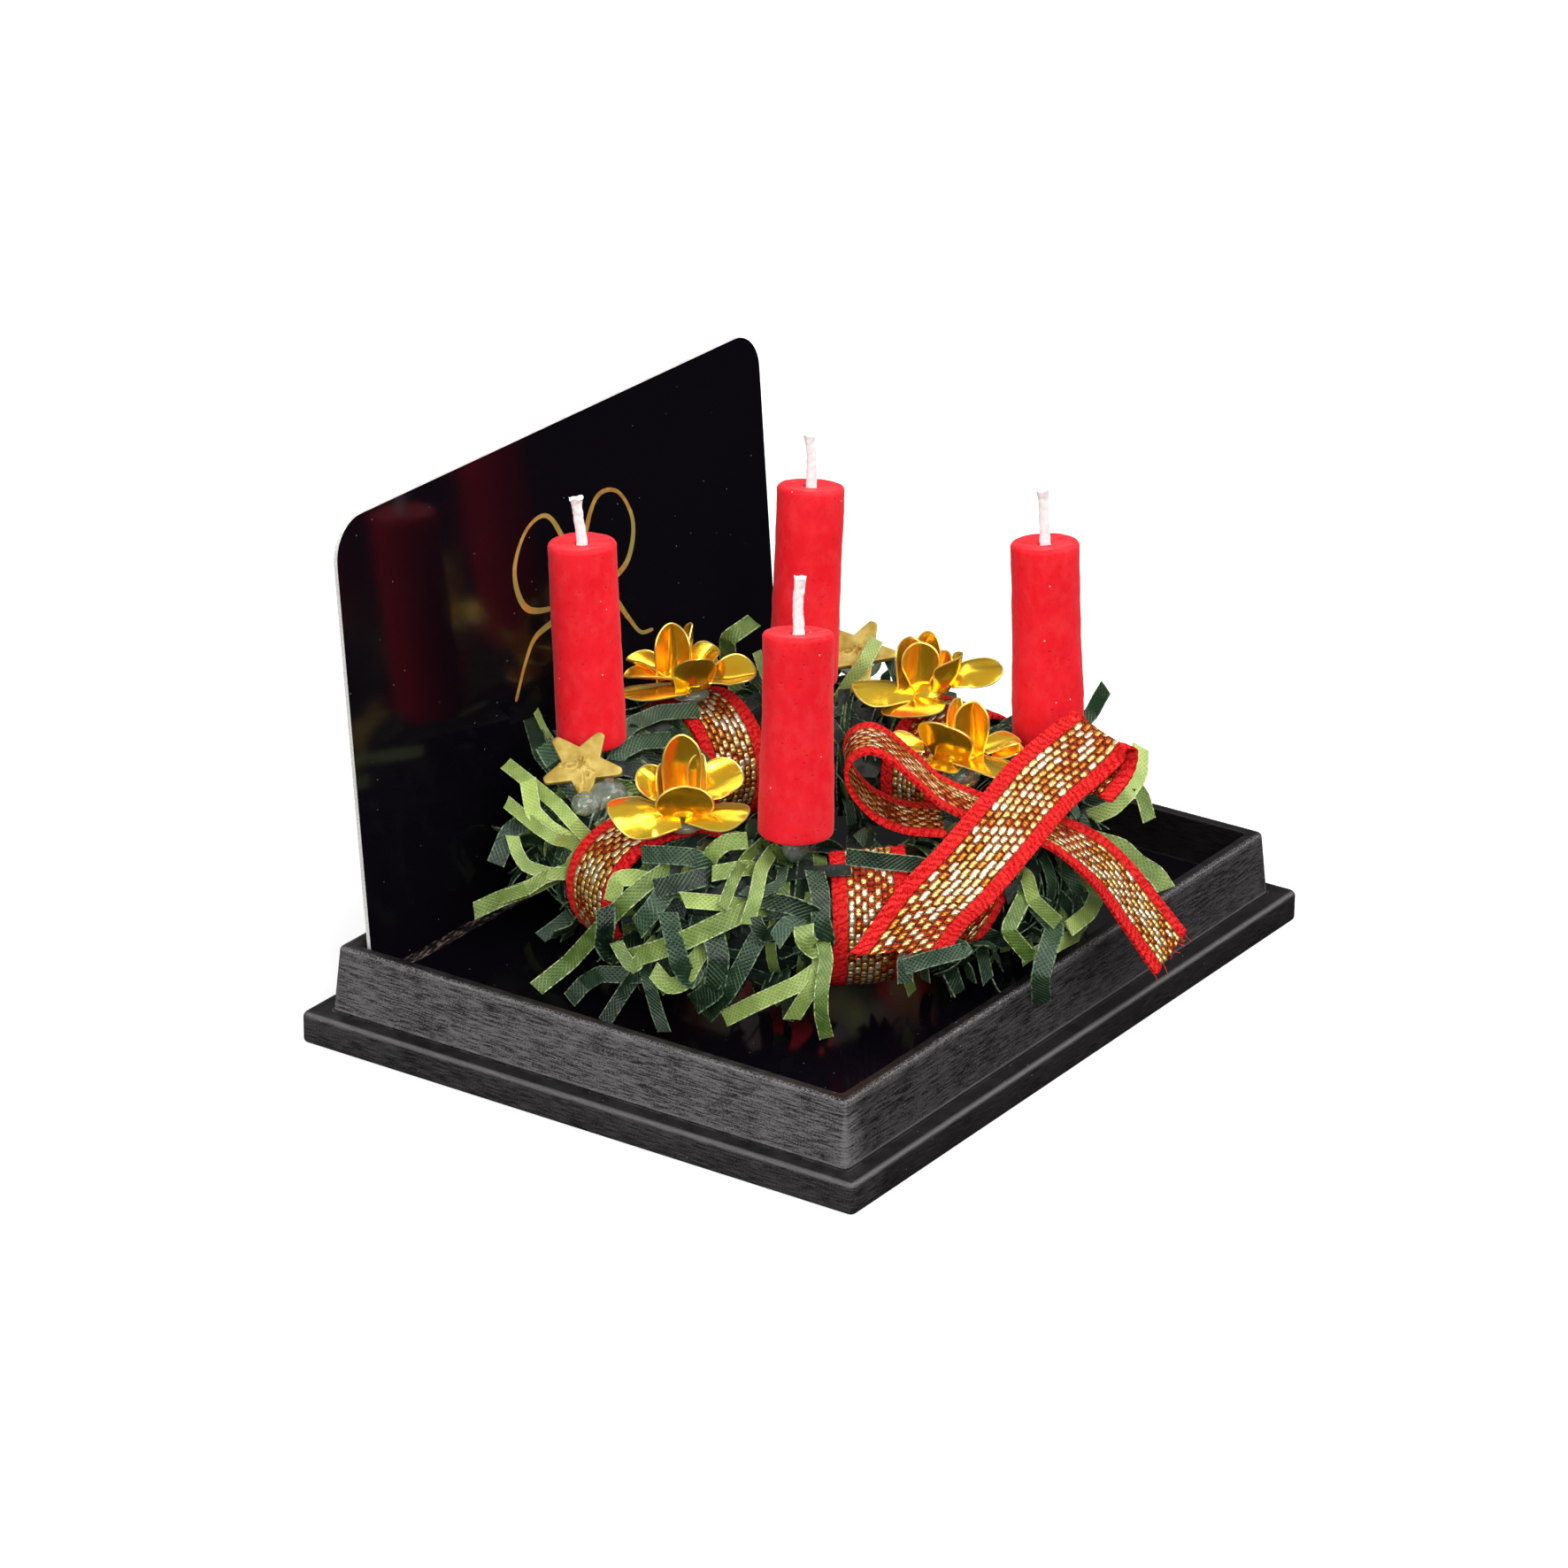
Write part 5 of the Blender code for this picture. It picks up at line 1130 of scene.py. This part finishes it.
def make_flower(name, materials):
    """Stamped flower: standing and spread petals round a small pressed middle."""
    middle, petals = FLOWERS[name]
    middle = np.array(middle)
    shells = Shells()
    profile = np.array([(0.1, -0.45), (0.9, -0.45), (1.3, -0.3), (1.35, -0.1), (1.15, 0.1), (0.8, 0.22),
                        (0.55, 0.4), (0.3, 0.5), (0.1, 0.52)])
    centres = middle + UP * profile[:, 1:]
    shells.tube(ring_points(centres, np.repeat(profile[:, :1], 24, axis=1), 24, UP))
    start = math.radians(PHOTO_TURN)
    across, away = level_pair(start)
    for k, (place, turn, *shape) in enumerate(petals):
        root = middle + across * place[0] + away * place[1] + UP * place[2]
        petal(shells, root, math.radians(turn) + start, *shape, k + len(name) * 3)
    return shells.close(f"flower_{name}", materials, "gold_foil", f"foil_flower_{name}", angle=50.0)


def star_outline(angle, tip=2.9, notch=1.5, half_tip=6.5):
    """Reach of a five-armed star with blunt arms at angles in degrees."""
    arm = np.abs((angle + 36) % 72 - 36)
    end = np.array((math.cos(math.radians(half_tip)), math.sin(math.radians(half_tip)))) * tip
    way = np.array((math.cos(math.radians(36)), math.sin(math.radians(36)))) * notch - end
    slope = np.tan(np.radians(arm))
    cut = (end[1] - slope * end[0]) / (slope * way[0] - way[1])
    straight = np.hypot(end[0] + way[0] * cut, end[1] + way[1] * cut)
    return np.where(arm < half_tip, tip + 0.1 * (1 - (arm / half_tip) ** 2), straight)


def make_star(name, material):
    """Five-armed foil star with blunt arms, a soft rim and pressed marks."""
    middle, facing_way, spin = STARS[name]
    tilt = Vector(UP).rotation_difference(Vector(facing_way)).to_matrix() @ Matrix.Rotation(
        math.radians(spin), 3, "Z")
    angle = np.linspace(0.0, 360.0, 120, endpoint=False)
    outline = star_outline(angle)
    levels = [(share, -0.2) for share in (0.03, 0.3, 0.6, 0.85, 0.95)]
    levels += [(1.0 - 0.04 * (1 - math.cos(a)), 0.2 * math.sin(a)) for a in np.linspace(-1.4, 1.4, 7)]
    levels += [(share, 0.22) for share in (0.93, 0.88, 0.8, 0.7, 0.6, 0.5, 0.4, 0.3, 0.2, 0.1, 0.03)]
    rings = []
    for share, height in levels:
        x, y = outline * share * np.cos(np.radians(angle)), outline * share * np.sin(np.radians(angle))
        z = np.full(len(angle), height)
        if height > 0.2:
            for mark_x, mark_y, size, depth in STAR_MARKS:
                away = np.hypot(x - mark_x, y - mark_y) / size
                z = z + depth * np.exp(-(away - 1.0) ** 2 * 6.0) - depth * np.exp(-away ** 2 * 4.0)
        rings.append(np.stack((x, y, z), axis=1))
    rings = np.array(rings)
    rings[..., 2] += 0.05 * rough(rings, 0.7, len(name))
    rings = rings @ np.array(tilt).T + np.array(middle)
    shells = Shells()
    shells.tube(rings)
    return shells.close(f"star_{name}", [material], "pale_gold_foil", f"foil_star_{name}", angle=45.0)


def glue_drop(shells, foot, top, radius, seed):
    """Sagging drop between a foot and a top."""
    t = np.linspace(0.0, 1.0, 15)
    centres = foot + (top - foot) * t[:, None]
    wide = np.maximum(radius * (0.25 + 0.75 * np.sin(np.clip(t * 1.08, 0.03, 1.0) * math.pi) ** 0.55), 0.05)
    rings = ring_points(centres, np.repeat(wide[:, None], 28, axis=1), 28, unit(top - foot))
    bumps = 1 + 0.2 * rough(rings, 0.5, seed)
    shells.tube(centres[:, None, :] + (rings - centres[:, None, :]) * bumps[..., None])


def make_glue(material):
    """Hot glue under each candle, flower and star, with drips and strings beside the left star."""
    seat, wrapped = RING_HEIGHT + CORE_RADIUS + 0.08, RING_HEIGHT + WRAP_RADIUS + RIBBON_THICKNESS + 0.08
    for k, name in enumerate(CANDLES):
        base, _ = candle_places(name)
        shells = Shells()
        glue_drop(shells, np.array((base[0], base[1], seat)), base - UP * 0.1, 1.0, k)
        shells.close(f"glue_candle_{name}", [material], "clear_glue", f"candle_glue_{name}", angle=80.0)
    for k, (name, (middle, *_)) in enumerate(FLOWERS.items()):
        middle = np.array(middle)
        height = seat if name == "front" else wrapped
        shells = Shells()
        glue_drop(shells, np.array((middle[0], middle[1], height)), middle - UP * 0.5, 1.4, k + 5)
        shells.close(f"glue_flower_{name}", [material], "clear_glue", f"flower_glue_{name}", angle=80.0)
    for k, (name, (middle, facing_way, _)) in enumerate(STARS.items()):
        facing_way = unit(facing_way)
        top = np.array(middle) - facing_way * 0.3
        shells = Shells()
        glue_drop(shells, top - facing_way * 1.4, top, 1.8, k + 11)
        if name == "left":
            for spot, reach in STAR_DRIPS:
                spot = np.array(spot)
                glue_drop(shells, spot - UP * reach * 0.9, spot + UP * reach * 0.7, reach, k + 20)
            for start, end in STAR_STRINGS:
                middle_point = (np.array(start) + end) / 2 + (-0.15, -0.1, 0.25)
                pipe(shells, curve([start, middle_point, end], 6), np.linspace(0.16, 0.05, 13))
        shells.close(f"glue_star_{name}", [material], "clear_glue", f"star_glue_{name}", angle=80.0)


# Garland

def tube_point(theta, phi, radius):
    """Point at a radius from the ring's tube axis."""
    theta, phi, radius = np.broadcast_arrays(theta, phi, radius)
    reach = RING_RADIUS + radius * np.cos(phi)
    height = RING_HEIGHT + radius * np.sin(phi)
    return np.stack((reach * np.cos(theta), reach * np.sin(theta), height), axis=-1)


def kinked(points, soft=0.35):
    """Path that is straight between points and bends close to each."""
    steps = [points[0], (points[0] * 2 + points[1]) / 3]
    for before, corner, after in zip(points, points[1:], points[2:]):
        enter, leave = corner + unit(before - corner) * soft, corner + unit(after - corner) * soft
        steps += [enter, (enter + leave + corner * 2) / 4, leave]
    return np.vstack((*steps, points[-1]))


def facing(path, toward, roll):
    """Directions across a path so that a strip shows its face one way, rolled a little."""
    run = directions(path)
    sides = unit(np.cross(run, toward))
    for k in range(1, len(sides)):
        if sides[k] @ sides[k - 1] < 0.0:
            sides[k] = -sides[k]
    for _ in range(3):
        sides[1:-1] = (sides[:-2] + sides[1:-1] * 2 + sides[2:]) / 4
    sides = unit(sides - run * np.sum(sides * run, axis=1, keepdims=True))
    return sides * math.cos(roll) + np.cross(run, sides) * math.sin(roll)


def strip(path, sides, width, slip):
    """Surface of a strip along a path, with its face directions; it keeps off the card below."""
    lowest = CARD_FLOOR_TOP + 0.16 + np.abs(sides[:, 2]) * width / 2
    path = path.copy()
    path[:, 2] = np.maximum(path[:, 2], lowest)
    run = directions(path)
    face = unit(np.cross(run, sides))
    across = np.array((-1.0, 0.0, 1.0))
    grid = path[:, None, :] + sides[:, None, :] * (across * width / 2)[:, None]
    grid[:, 1] += face * 0.04
    grid[-1] += run[-1] * across[:, None] * slip
    return grid, face


def add_strip(shells, grid, face, look, tone, edge=1):
    """Foil strip of real thickness; its map starts at a place of its own along the strip."""
    along = lengths(grid[:, 1]) + tone * 40.0
    columns = np.linspace(0.0, STRIP_MAP_WIDTH, 3)
    maps = np.stack(np.broadcast_arrays(columns, along[:, None]), axis=-1)
    skin = face[:, None, :] * STRIP_HALF_THICKNESS
    shells.sheet(grid + skin, grid - skin, maps, (look, look, edge), tone=tone)


def is_clear(grid, trees):
    """True where a strip's surface meets no other piece."""
    rows, columns = grid.shape[:2]
    points = [Vector(p) for p in grid.reshape(-1, 3)]
    faces = [(r * columns + c, (r + 1) * columns + c, (r + 1) * columns + c + 1, r * columns + c + 1)
             for r in range(rows - 1) for c in range(columns - 1)]
    own = BVHTree.FromPolygons(points, faces)
    return not any(own.overlap(tree) for tree in trees)


def trees_of(pieces):
    """Search trees of pieces, in millimetres."""
    trees = []
    for piece in pieces:
        points = [vert.co / MM for vert in piece.data.vertices]
        trees.append(BVHTree.FromPolygons(points, [tuple(face.vertices) for face in piece.data.polygons]))
    return trees


def beside_wraps(turn, lift, toward, margin):
    """A turn moved out from under a ribbon wrap, to the side where another turn lies."""
    level, height = math.cos(math.radians(lift)), math.sin(math.radians(lift))
    reach = RING_RADIUS + WRAP_RADIUS * level
    half = math.degrees((RIBBON_WIDTH / 2 + margin) / reach)
    for middle, lean, swirl, start, end in WRAPS.values():
        if not start - 8.0 < lift < end + 8.0:
            continue
        middle += math.degrees((lean * level + swirl * height) / reach)
        for centre in (middle, middle + 360.0):
            if abs(turn - centre) < half:
                turn = centre + math.copysign(half, toward - centre)
    return turn


def lay_by_hand(shells, stations, width, look, draw, trees):
    """Strip through its stations, moved in or out a little where it would meet another piece."""
    turns, lifts, reach = np.array(stations, float).T
    toward, margin = turns[-1], 0.2 + width / 2
    for k in range(len(turns) - 1):
        if reach[k] < 6.5:
            turns[k] = beside_wraps(turns[k], lifts[k], toward, margin)
    back_turn, back_lift = np.clip(turns[0] - turns[1], -6, 6), np.clip(lifts[0] - lifts[1], -22, 22)
    root = beside_wraps(turns[0] + back_turn, lifts[0] + back_lift, toward, margin)
    tone, roll, slip = draw.random(), draw.uniform(-0.3, 0.3), draw.uniform(-0.3, 0.3)
    for push in (0.0, 0.25, -0.3, 0.5, -0.6, 0.9, 1.4):
        points = tube_point(np.radians((root, *turns)), np.radians((lifts[0] + back_lift, *lifts)),
                            np.array((ROOT_RADIUS, *(reach + push))))
        path = kinked(points, 0.4)
        grid, face = strip(path, facing(path, TOWARD_PHOTO, roll), width * 0.93, slip)
        if is_clear(grid, trees):
            add_strip(shells, grid, face, look, tone, 2)
            return


def loose_strip(draw, theta, phi, length):
    """Path and sides of a strip that leaves the core and kinks once or twice."""
    outward, along = level_pair(theta)
    normal = outward * math.cos(phi) + UP * math.sin(phi)
    run = unit(normal + along * draw.uniform(-1.2, 1.2) + np.cross(normal, along) * draw.uniform(-0.8, 0.8))
    side = unit(np.cross(run, [draw.uniform(-1.0, 1.0) for _ in range(3)]))
    points = [tube_point(theta, phi, ROOT_RADIUS)]
    for share in (0.5, 0.3, 0.2)[:draw.choice((2, 2, 3))]:
        points.append(points[-1] + run * length * share)
        bend = draw.uniform(-1.1, 1.1)
        run = unit(run * math.cos(bend) + np.cross(side, run) * math.sin(bend) - UP * 0.25)
        side = unit(side - run * (side @ run))
    path = kinked(points)
    return path, carried(path, side)


def lying_strip(draw, theta, phi):
    """Path and sides of a strip that lies along the core and lifts a little."""
    heading, length = draw.uniform(0.0, math.tau), draw.uniform(3.5, 7.0)
    t = np.linspace(0.0, 1.0, 8)
    turn = theta + math.cos(heading) * length * t / (RING_RADIUS + CORE_RADIUS * math.cos(phi))
    rise = phi + math.sin(heading) * length * t / CORE_RADIUS
    radius = CORE_RADIUS - 0.4 + draw.uniform(0.4, 1.4) * np.sin(t * draw.uniform(1.2, 2.6))
    path = tube_point(turn, rise, radius)
    normal = path - tube_point(turn, rise, 0.0)
    return path, carried(path, np.cross(path[1] - path[0], normal[0]))


def make_core(shells, first, last, draw):
    """Core of one spray: a dark tube with foil wound round it, its edges standing a little."""
    count = max(4, int((last - first) / 3))
    theta = np.radians(np.linspace(first, last, count)) + np.linspace(0.004, -0.004, count)
    phi = np.linspace(0.0, math.tau, 24, endpoint=False)
    # The tube takes the near-black core finish: painted shade under the strips.
    shells.tube(tube_point(theta[:, None], phi[None, :], CORE_RADIUS - 0.45), look=3)
    turns = int(math.radians(last - first) * RING_RADIUS / 0.6)
    for k in range(turns):
        centre = math.radians(first + (last - first) * (k + 0.5) / turns)
        room = min(centre - math.radians(first), math.radians(last) - centre)
        lean = max(-room * 0.8, min(room * 0.8, draw.uniform(-0.05, 0.05)))
        begin = draw.uniform(0.0, math.tau)
        sweep = np.linspace(begin, begin + draw.uniform(3.5, 6.0), 22)
        radius = CORE_RADIUS - 0.25 + 0.2 * np.sin(sweep * draw.uniform(1.0, 3.0)) + draw.uniform(-0.1, 0.1)
        path = tube_point(centre + lean * np.sin(sweep), sweep, radius)
        sides = carried(path, level_pair(centre)[1])
        tip = draw.uniform(0.2, 1.2)
        sides = sides * math.cos(tip) + np.cross(directions(path), sides) * math.sin(tip)
        look = 1 if draw.random() < 0.7 else 0
        width = min(draw.uniform(0.9, 1.3), room * RING_RADIUS * 1.5 + 0.3)
        grid, face = strip(path, sides, width, draw.uniform(-0.3, 0.3))
        add_strip(shells, grid, face, look, draw.random() * 0.6)


def make_spray(number, limits, looks, trees):
    """One stretch of garland: its core, the listed strips, and loose and lying strips between them."""
    first, last = limits
    draw = random.Random(GARLAND_SEED + number)
    shells = Shells()
    make_core(shells, first, last, draw)
    laid = [row for row in STRIPS if first <= row[2][0][0] < last]
    for shade, width, stations in laid:
        lay_by_hand(shells, stations, width, SHADES.index(shade), draw, trees)
    count = int((last - first) * STRIPS_PER_DEGREE)
    for kind in ["lying"] * count + ["loose"] * count:
        for _ in range(TRIES):
            theta = math.radians(draw.uniform(first, last))
            phi = draw.uniform(-2.3, 1.35) if draw.random() < 0.7 else draw.uniform(1.35, 3.9)
            normal = tube_point(theta, phi, 1.0) - tube_point(theta, phi, 0.0)
            shown = laid and normal @ TOWARD_PHOTO > 0.2
            # Look 3 is the near-black core finish; lying strips on the side toward the camera mostly take it,
            # and loose ones there sometimes: painted shade in the gaps between strips.
            if kind == "lying":
                shade = draw.choice((1, 3, 3, 3)) if shown else draw.choice((0, 1, 1, 1, 3))
                path, sides = lying_strip(draw, theta, phi)
            else:
                shade = draw.choice((1, 1, 3)) if shown else draw.choice((0, 1, 1, 1))
                length = draw.uniform(2.8, 4.4) if math.cos(phi) < -0.2 else draw.uniform(3.6, 5.6)
                if shown:
                    length = draw.uniform(2.0, 3.4)
                path, sides = loose_strip(draw, theta, phi, length)
            grid, face = strip(path, sides, draw.uniform(0.75, 1.2), draw.uniform(-0.35, 0.35))
            if is_clear(grid, trees):
                add_strip(shells, grid, face, shade, draw.random())
                break
    shells.close(f"garland_{number}", looks, "green_foil", f"foliage_{number}", angle=35.0)


# Stage

# Lights: place, width and height in metres, and brightness
LIGHTS = (
    ("top_light", (0.1, -0.21, 0.43), 0.3, 0.26, 5.0),
    ("front_light", (-0.38, -0.28, 0.26), 0.34, 0.26, 4.8),
    ("key_light", (-0.2, -0.26, 0.29), 0.1, 0.1, 14.0),
    ("left_light", (-0.44, 0.16, 0.22), 0.3, 0.3, 3.6),
    ("right_light", (0.36, -0.3, 0.22), 0.24, 0.24, 4.0),
    ("back_light", (0.16, 0.4, 0.5), 0.4, 0.3, 1.5),
)
LIT_SPOT = Vector((0.0, 0.0, 0.015))

# Camera: its directions in the frame and its place in millimetres
CAMERA_RIGHT, CAMERA_UP = (0.56736, -0.82345, 0.00463), (0.32263, 0.22745, 0.91879)
CAMERA_FORWARD = (0.75763, 0.51980, -0.39471)
CAMERA_PLACE = (-339.97, -230.81, 192.17)


def softbox(name, place, width, height, radiance):
    """Rectangular white light of an even brightness that faces the wreath."""
    data = bpy.data.lights.new(name, "AREA")
    data.shape = "RECTANGLE"
    data.size, data.size_y = width, height
    data.energy = radiance * math.pi * width * height
    light = bpy.data.objects.new(name, data)
    bpy.context.scene.collection.objects.link(light)
    light.location = place
    light.rotation_euler = (LIT_SPOT - Vector(place)).to_track_quat("-Z", "Y").to_euler()


def make_stage():
    """Pale floor, soft lights, studio surroundings and the camera."""
    look = Look("floor_white")
    look.set(Base_Color=look.mix(look.noise(40.0, 3.0), (0.9, 0.9, 0.9), (0.92, 0.92, 0.92)), Roughness=0.8,
             Emission_Color=(1.0, 1.0, 1.0), Emission_Strength=0.45)
    look.bump(look.noise(1.0, 3.0), 0.02, 0.3)
    bm = bmesh.new()
    bmesh.ops.create_grid(bm, x_segments=8, y_segments=8, size=3.0)
    mesh = bpy.data.meshes.new("floor")
    bm.to_mesh(mesh)
    bm.free()
    mesh.materials.append(look.material)
    floor = bpy.data.objects.new("floor", mesh)
    bpy.context.scene.collection.objects.link(floor)
    floor.visible_glossy = floor.visible_diffuse = False

    for name, place, width, height, radiance in LIGHTS:
        softbox(name, place, width, height, radiance)

    world = bpy.data.worlds.new("studio")
    bpy.context.scene.world = world
    world.use_nodes = True
    tree = world.node_tree
    spot = tree.nodes.new("ShaderNodeTexCoord")
    parts = tree.nodes.new("ShaderNodeSeparateXYZ")
    span = tree.nodes.new("ShaderNodeMapRange")
    for key, value in (("From Min", 0.2), ("From Max", 0.9), ("To Min", 0.02), ("To Max", 0.4)):
        span.inputs[key].default_value = value
    back = tree.nodes["Background"]
    tree.links.new(spot.outputs["Generated"], parts.inputs["Vector"])
    tree.links.new(parts.outputs["Z"], span.inputs["Value"])
    tree.links.new(span.outputs["Result"], back.inputs["Strength"])
    back.inputs["Color"].default_value = (1.0, 1.0, 1.0, 1.0)

    data = bpy.data.cameras.new("photo_camera")
    data.lens, data.sensor_width, data.clip_start = 140.96, 36.0, 0.01
    camera = bpy.data.objects.new("photo_camera", data)
    bpy.context.scene.collection.objects.link(camera)
    matrix = Matrix.Identity(4)
    for row in range(3):
        matrix[row][:3] = CAMERA_RIGHT[row], CAMERA_UP[row], -CAMERA_FORWARD[row]
    matrix.translation = Vector(CAMERA_PLACE) * MM
    camera.matrix_world = matrix
    bpy.context.scene.camera = camera
    bpy.context.scene.view_settings.view_transform = "Standard"


def main():
    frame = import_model()
    bpy.ops.object.select_all(action="DESELECT")
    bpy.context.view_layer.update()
    make_stage()

    tray = make_tray(plastic_look())
    card = make_card(card_look(), paper_look(), worn_look())
    make_ornament(gold_line_look())
    wax, cotton = wax_look(), cotton_look()
    pieces = [tray, card]
    for name in CANDLES:
        pieces.append(make_candle(name, wax))
        make_wick(name, cotton)
    ribbon = [ribbon_look("ribbon_face", 0.22, (1.0, 0.46, 0.05), (0.4, 0.004, 0.005), (0.02, 0.001, 0.001)),
              ribbon_look("ribbon_back", 0.05, (0.9, 0.32, 0.03), (0.2, 0.002, 0.003), (0.03, 0.001, 0.001))]
    thread = Look("ribbon_thread")
    thread.set(Base_Color=thread.mix(thread.noise(0.2), (0.5, 0.01, 0.015), (0.8, 0.03, 0.03)), Roughness=0.7)
    ribbons = [*ribbon, thread.material]
    pieces.append(make_bow("bow_back", BOW_BACK, 0.0, ribbons, 3))
    pieces.append(make_bow("bow_front", BOW_FRONT, 2.3, ribbons, 8))
    for k, name in enumerate(WRAPS):
        pieces.append(make_wrap(name, ribbons, k + 20))
    foils = [foil_look("gold_foil", (1.0, 0.55, 0.02), (1.0, 0.7, 0.055), 0.15),
             foil_look("gold_foil_under", (1.0, 0.46, 0.015), (1.0, 0.58, 0.03), 0.18),
             # The rim finish is a paler gold than the foil: a painted highlight along the beaded rims and cut
             # edges of the petals.
             foil_look("gold_foil_rim_highlight", (1.0, 0.74, 0.16), (1.0, 0.85, 0.26), 0.3)]
    for name in FLOWERS:
        pieces.append(make_flower(name, foils))
    star = star_look()
    for name in STARS:
        pieces.append(make_star(name, star))
    make_glue(glue_look())

    light = leaf_look("leaf_light", (0.03, 0.085, 0.006), (0.52, 0.67, 0.18), (0.72, 0.84, 0.42), 0.25)
    dark = leaf_look("leaf_dark", (0.001, 0.007, 0.003), (0.042, 0.1, 0.046), (0.24, 0.35, 0.2), 0.5)
    rim = leaf_look("leaf_cut", (0.3, 0.4, 0.16), (0.5, 0.62, 0.3), (0.7, 0.78, 0.5), 0.1)
    core = core_shade_look()
    trees = trees_of(pieces)
    for number, limits in enumerate(SPRAYS, start=1):
        make_spray(number, limits, [light, dark, rim, core], trees)

    wire = frame["nodes"]["wire_ring"].data
    wire.materials.clear()
    wire.materials.append(wire_look("steel_wire", (0.28, 0.28, 0.27), (0.5, 0.5, 0.48)))


main()
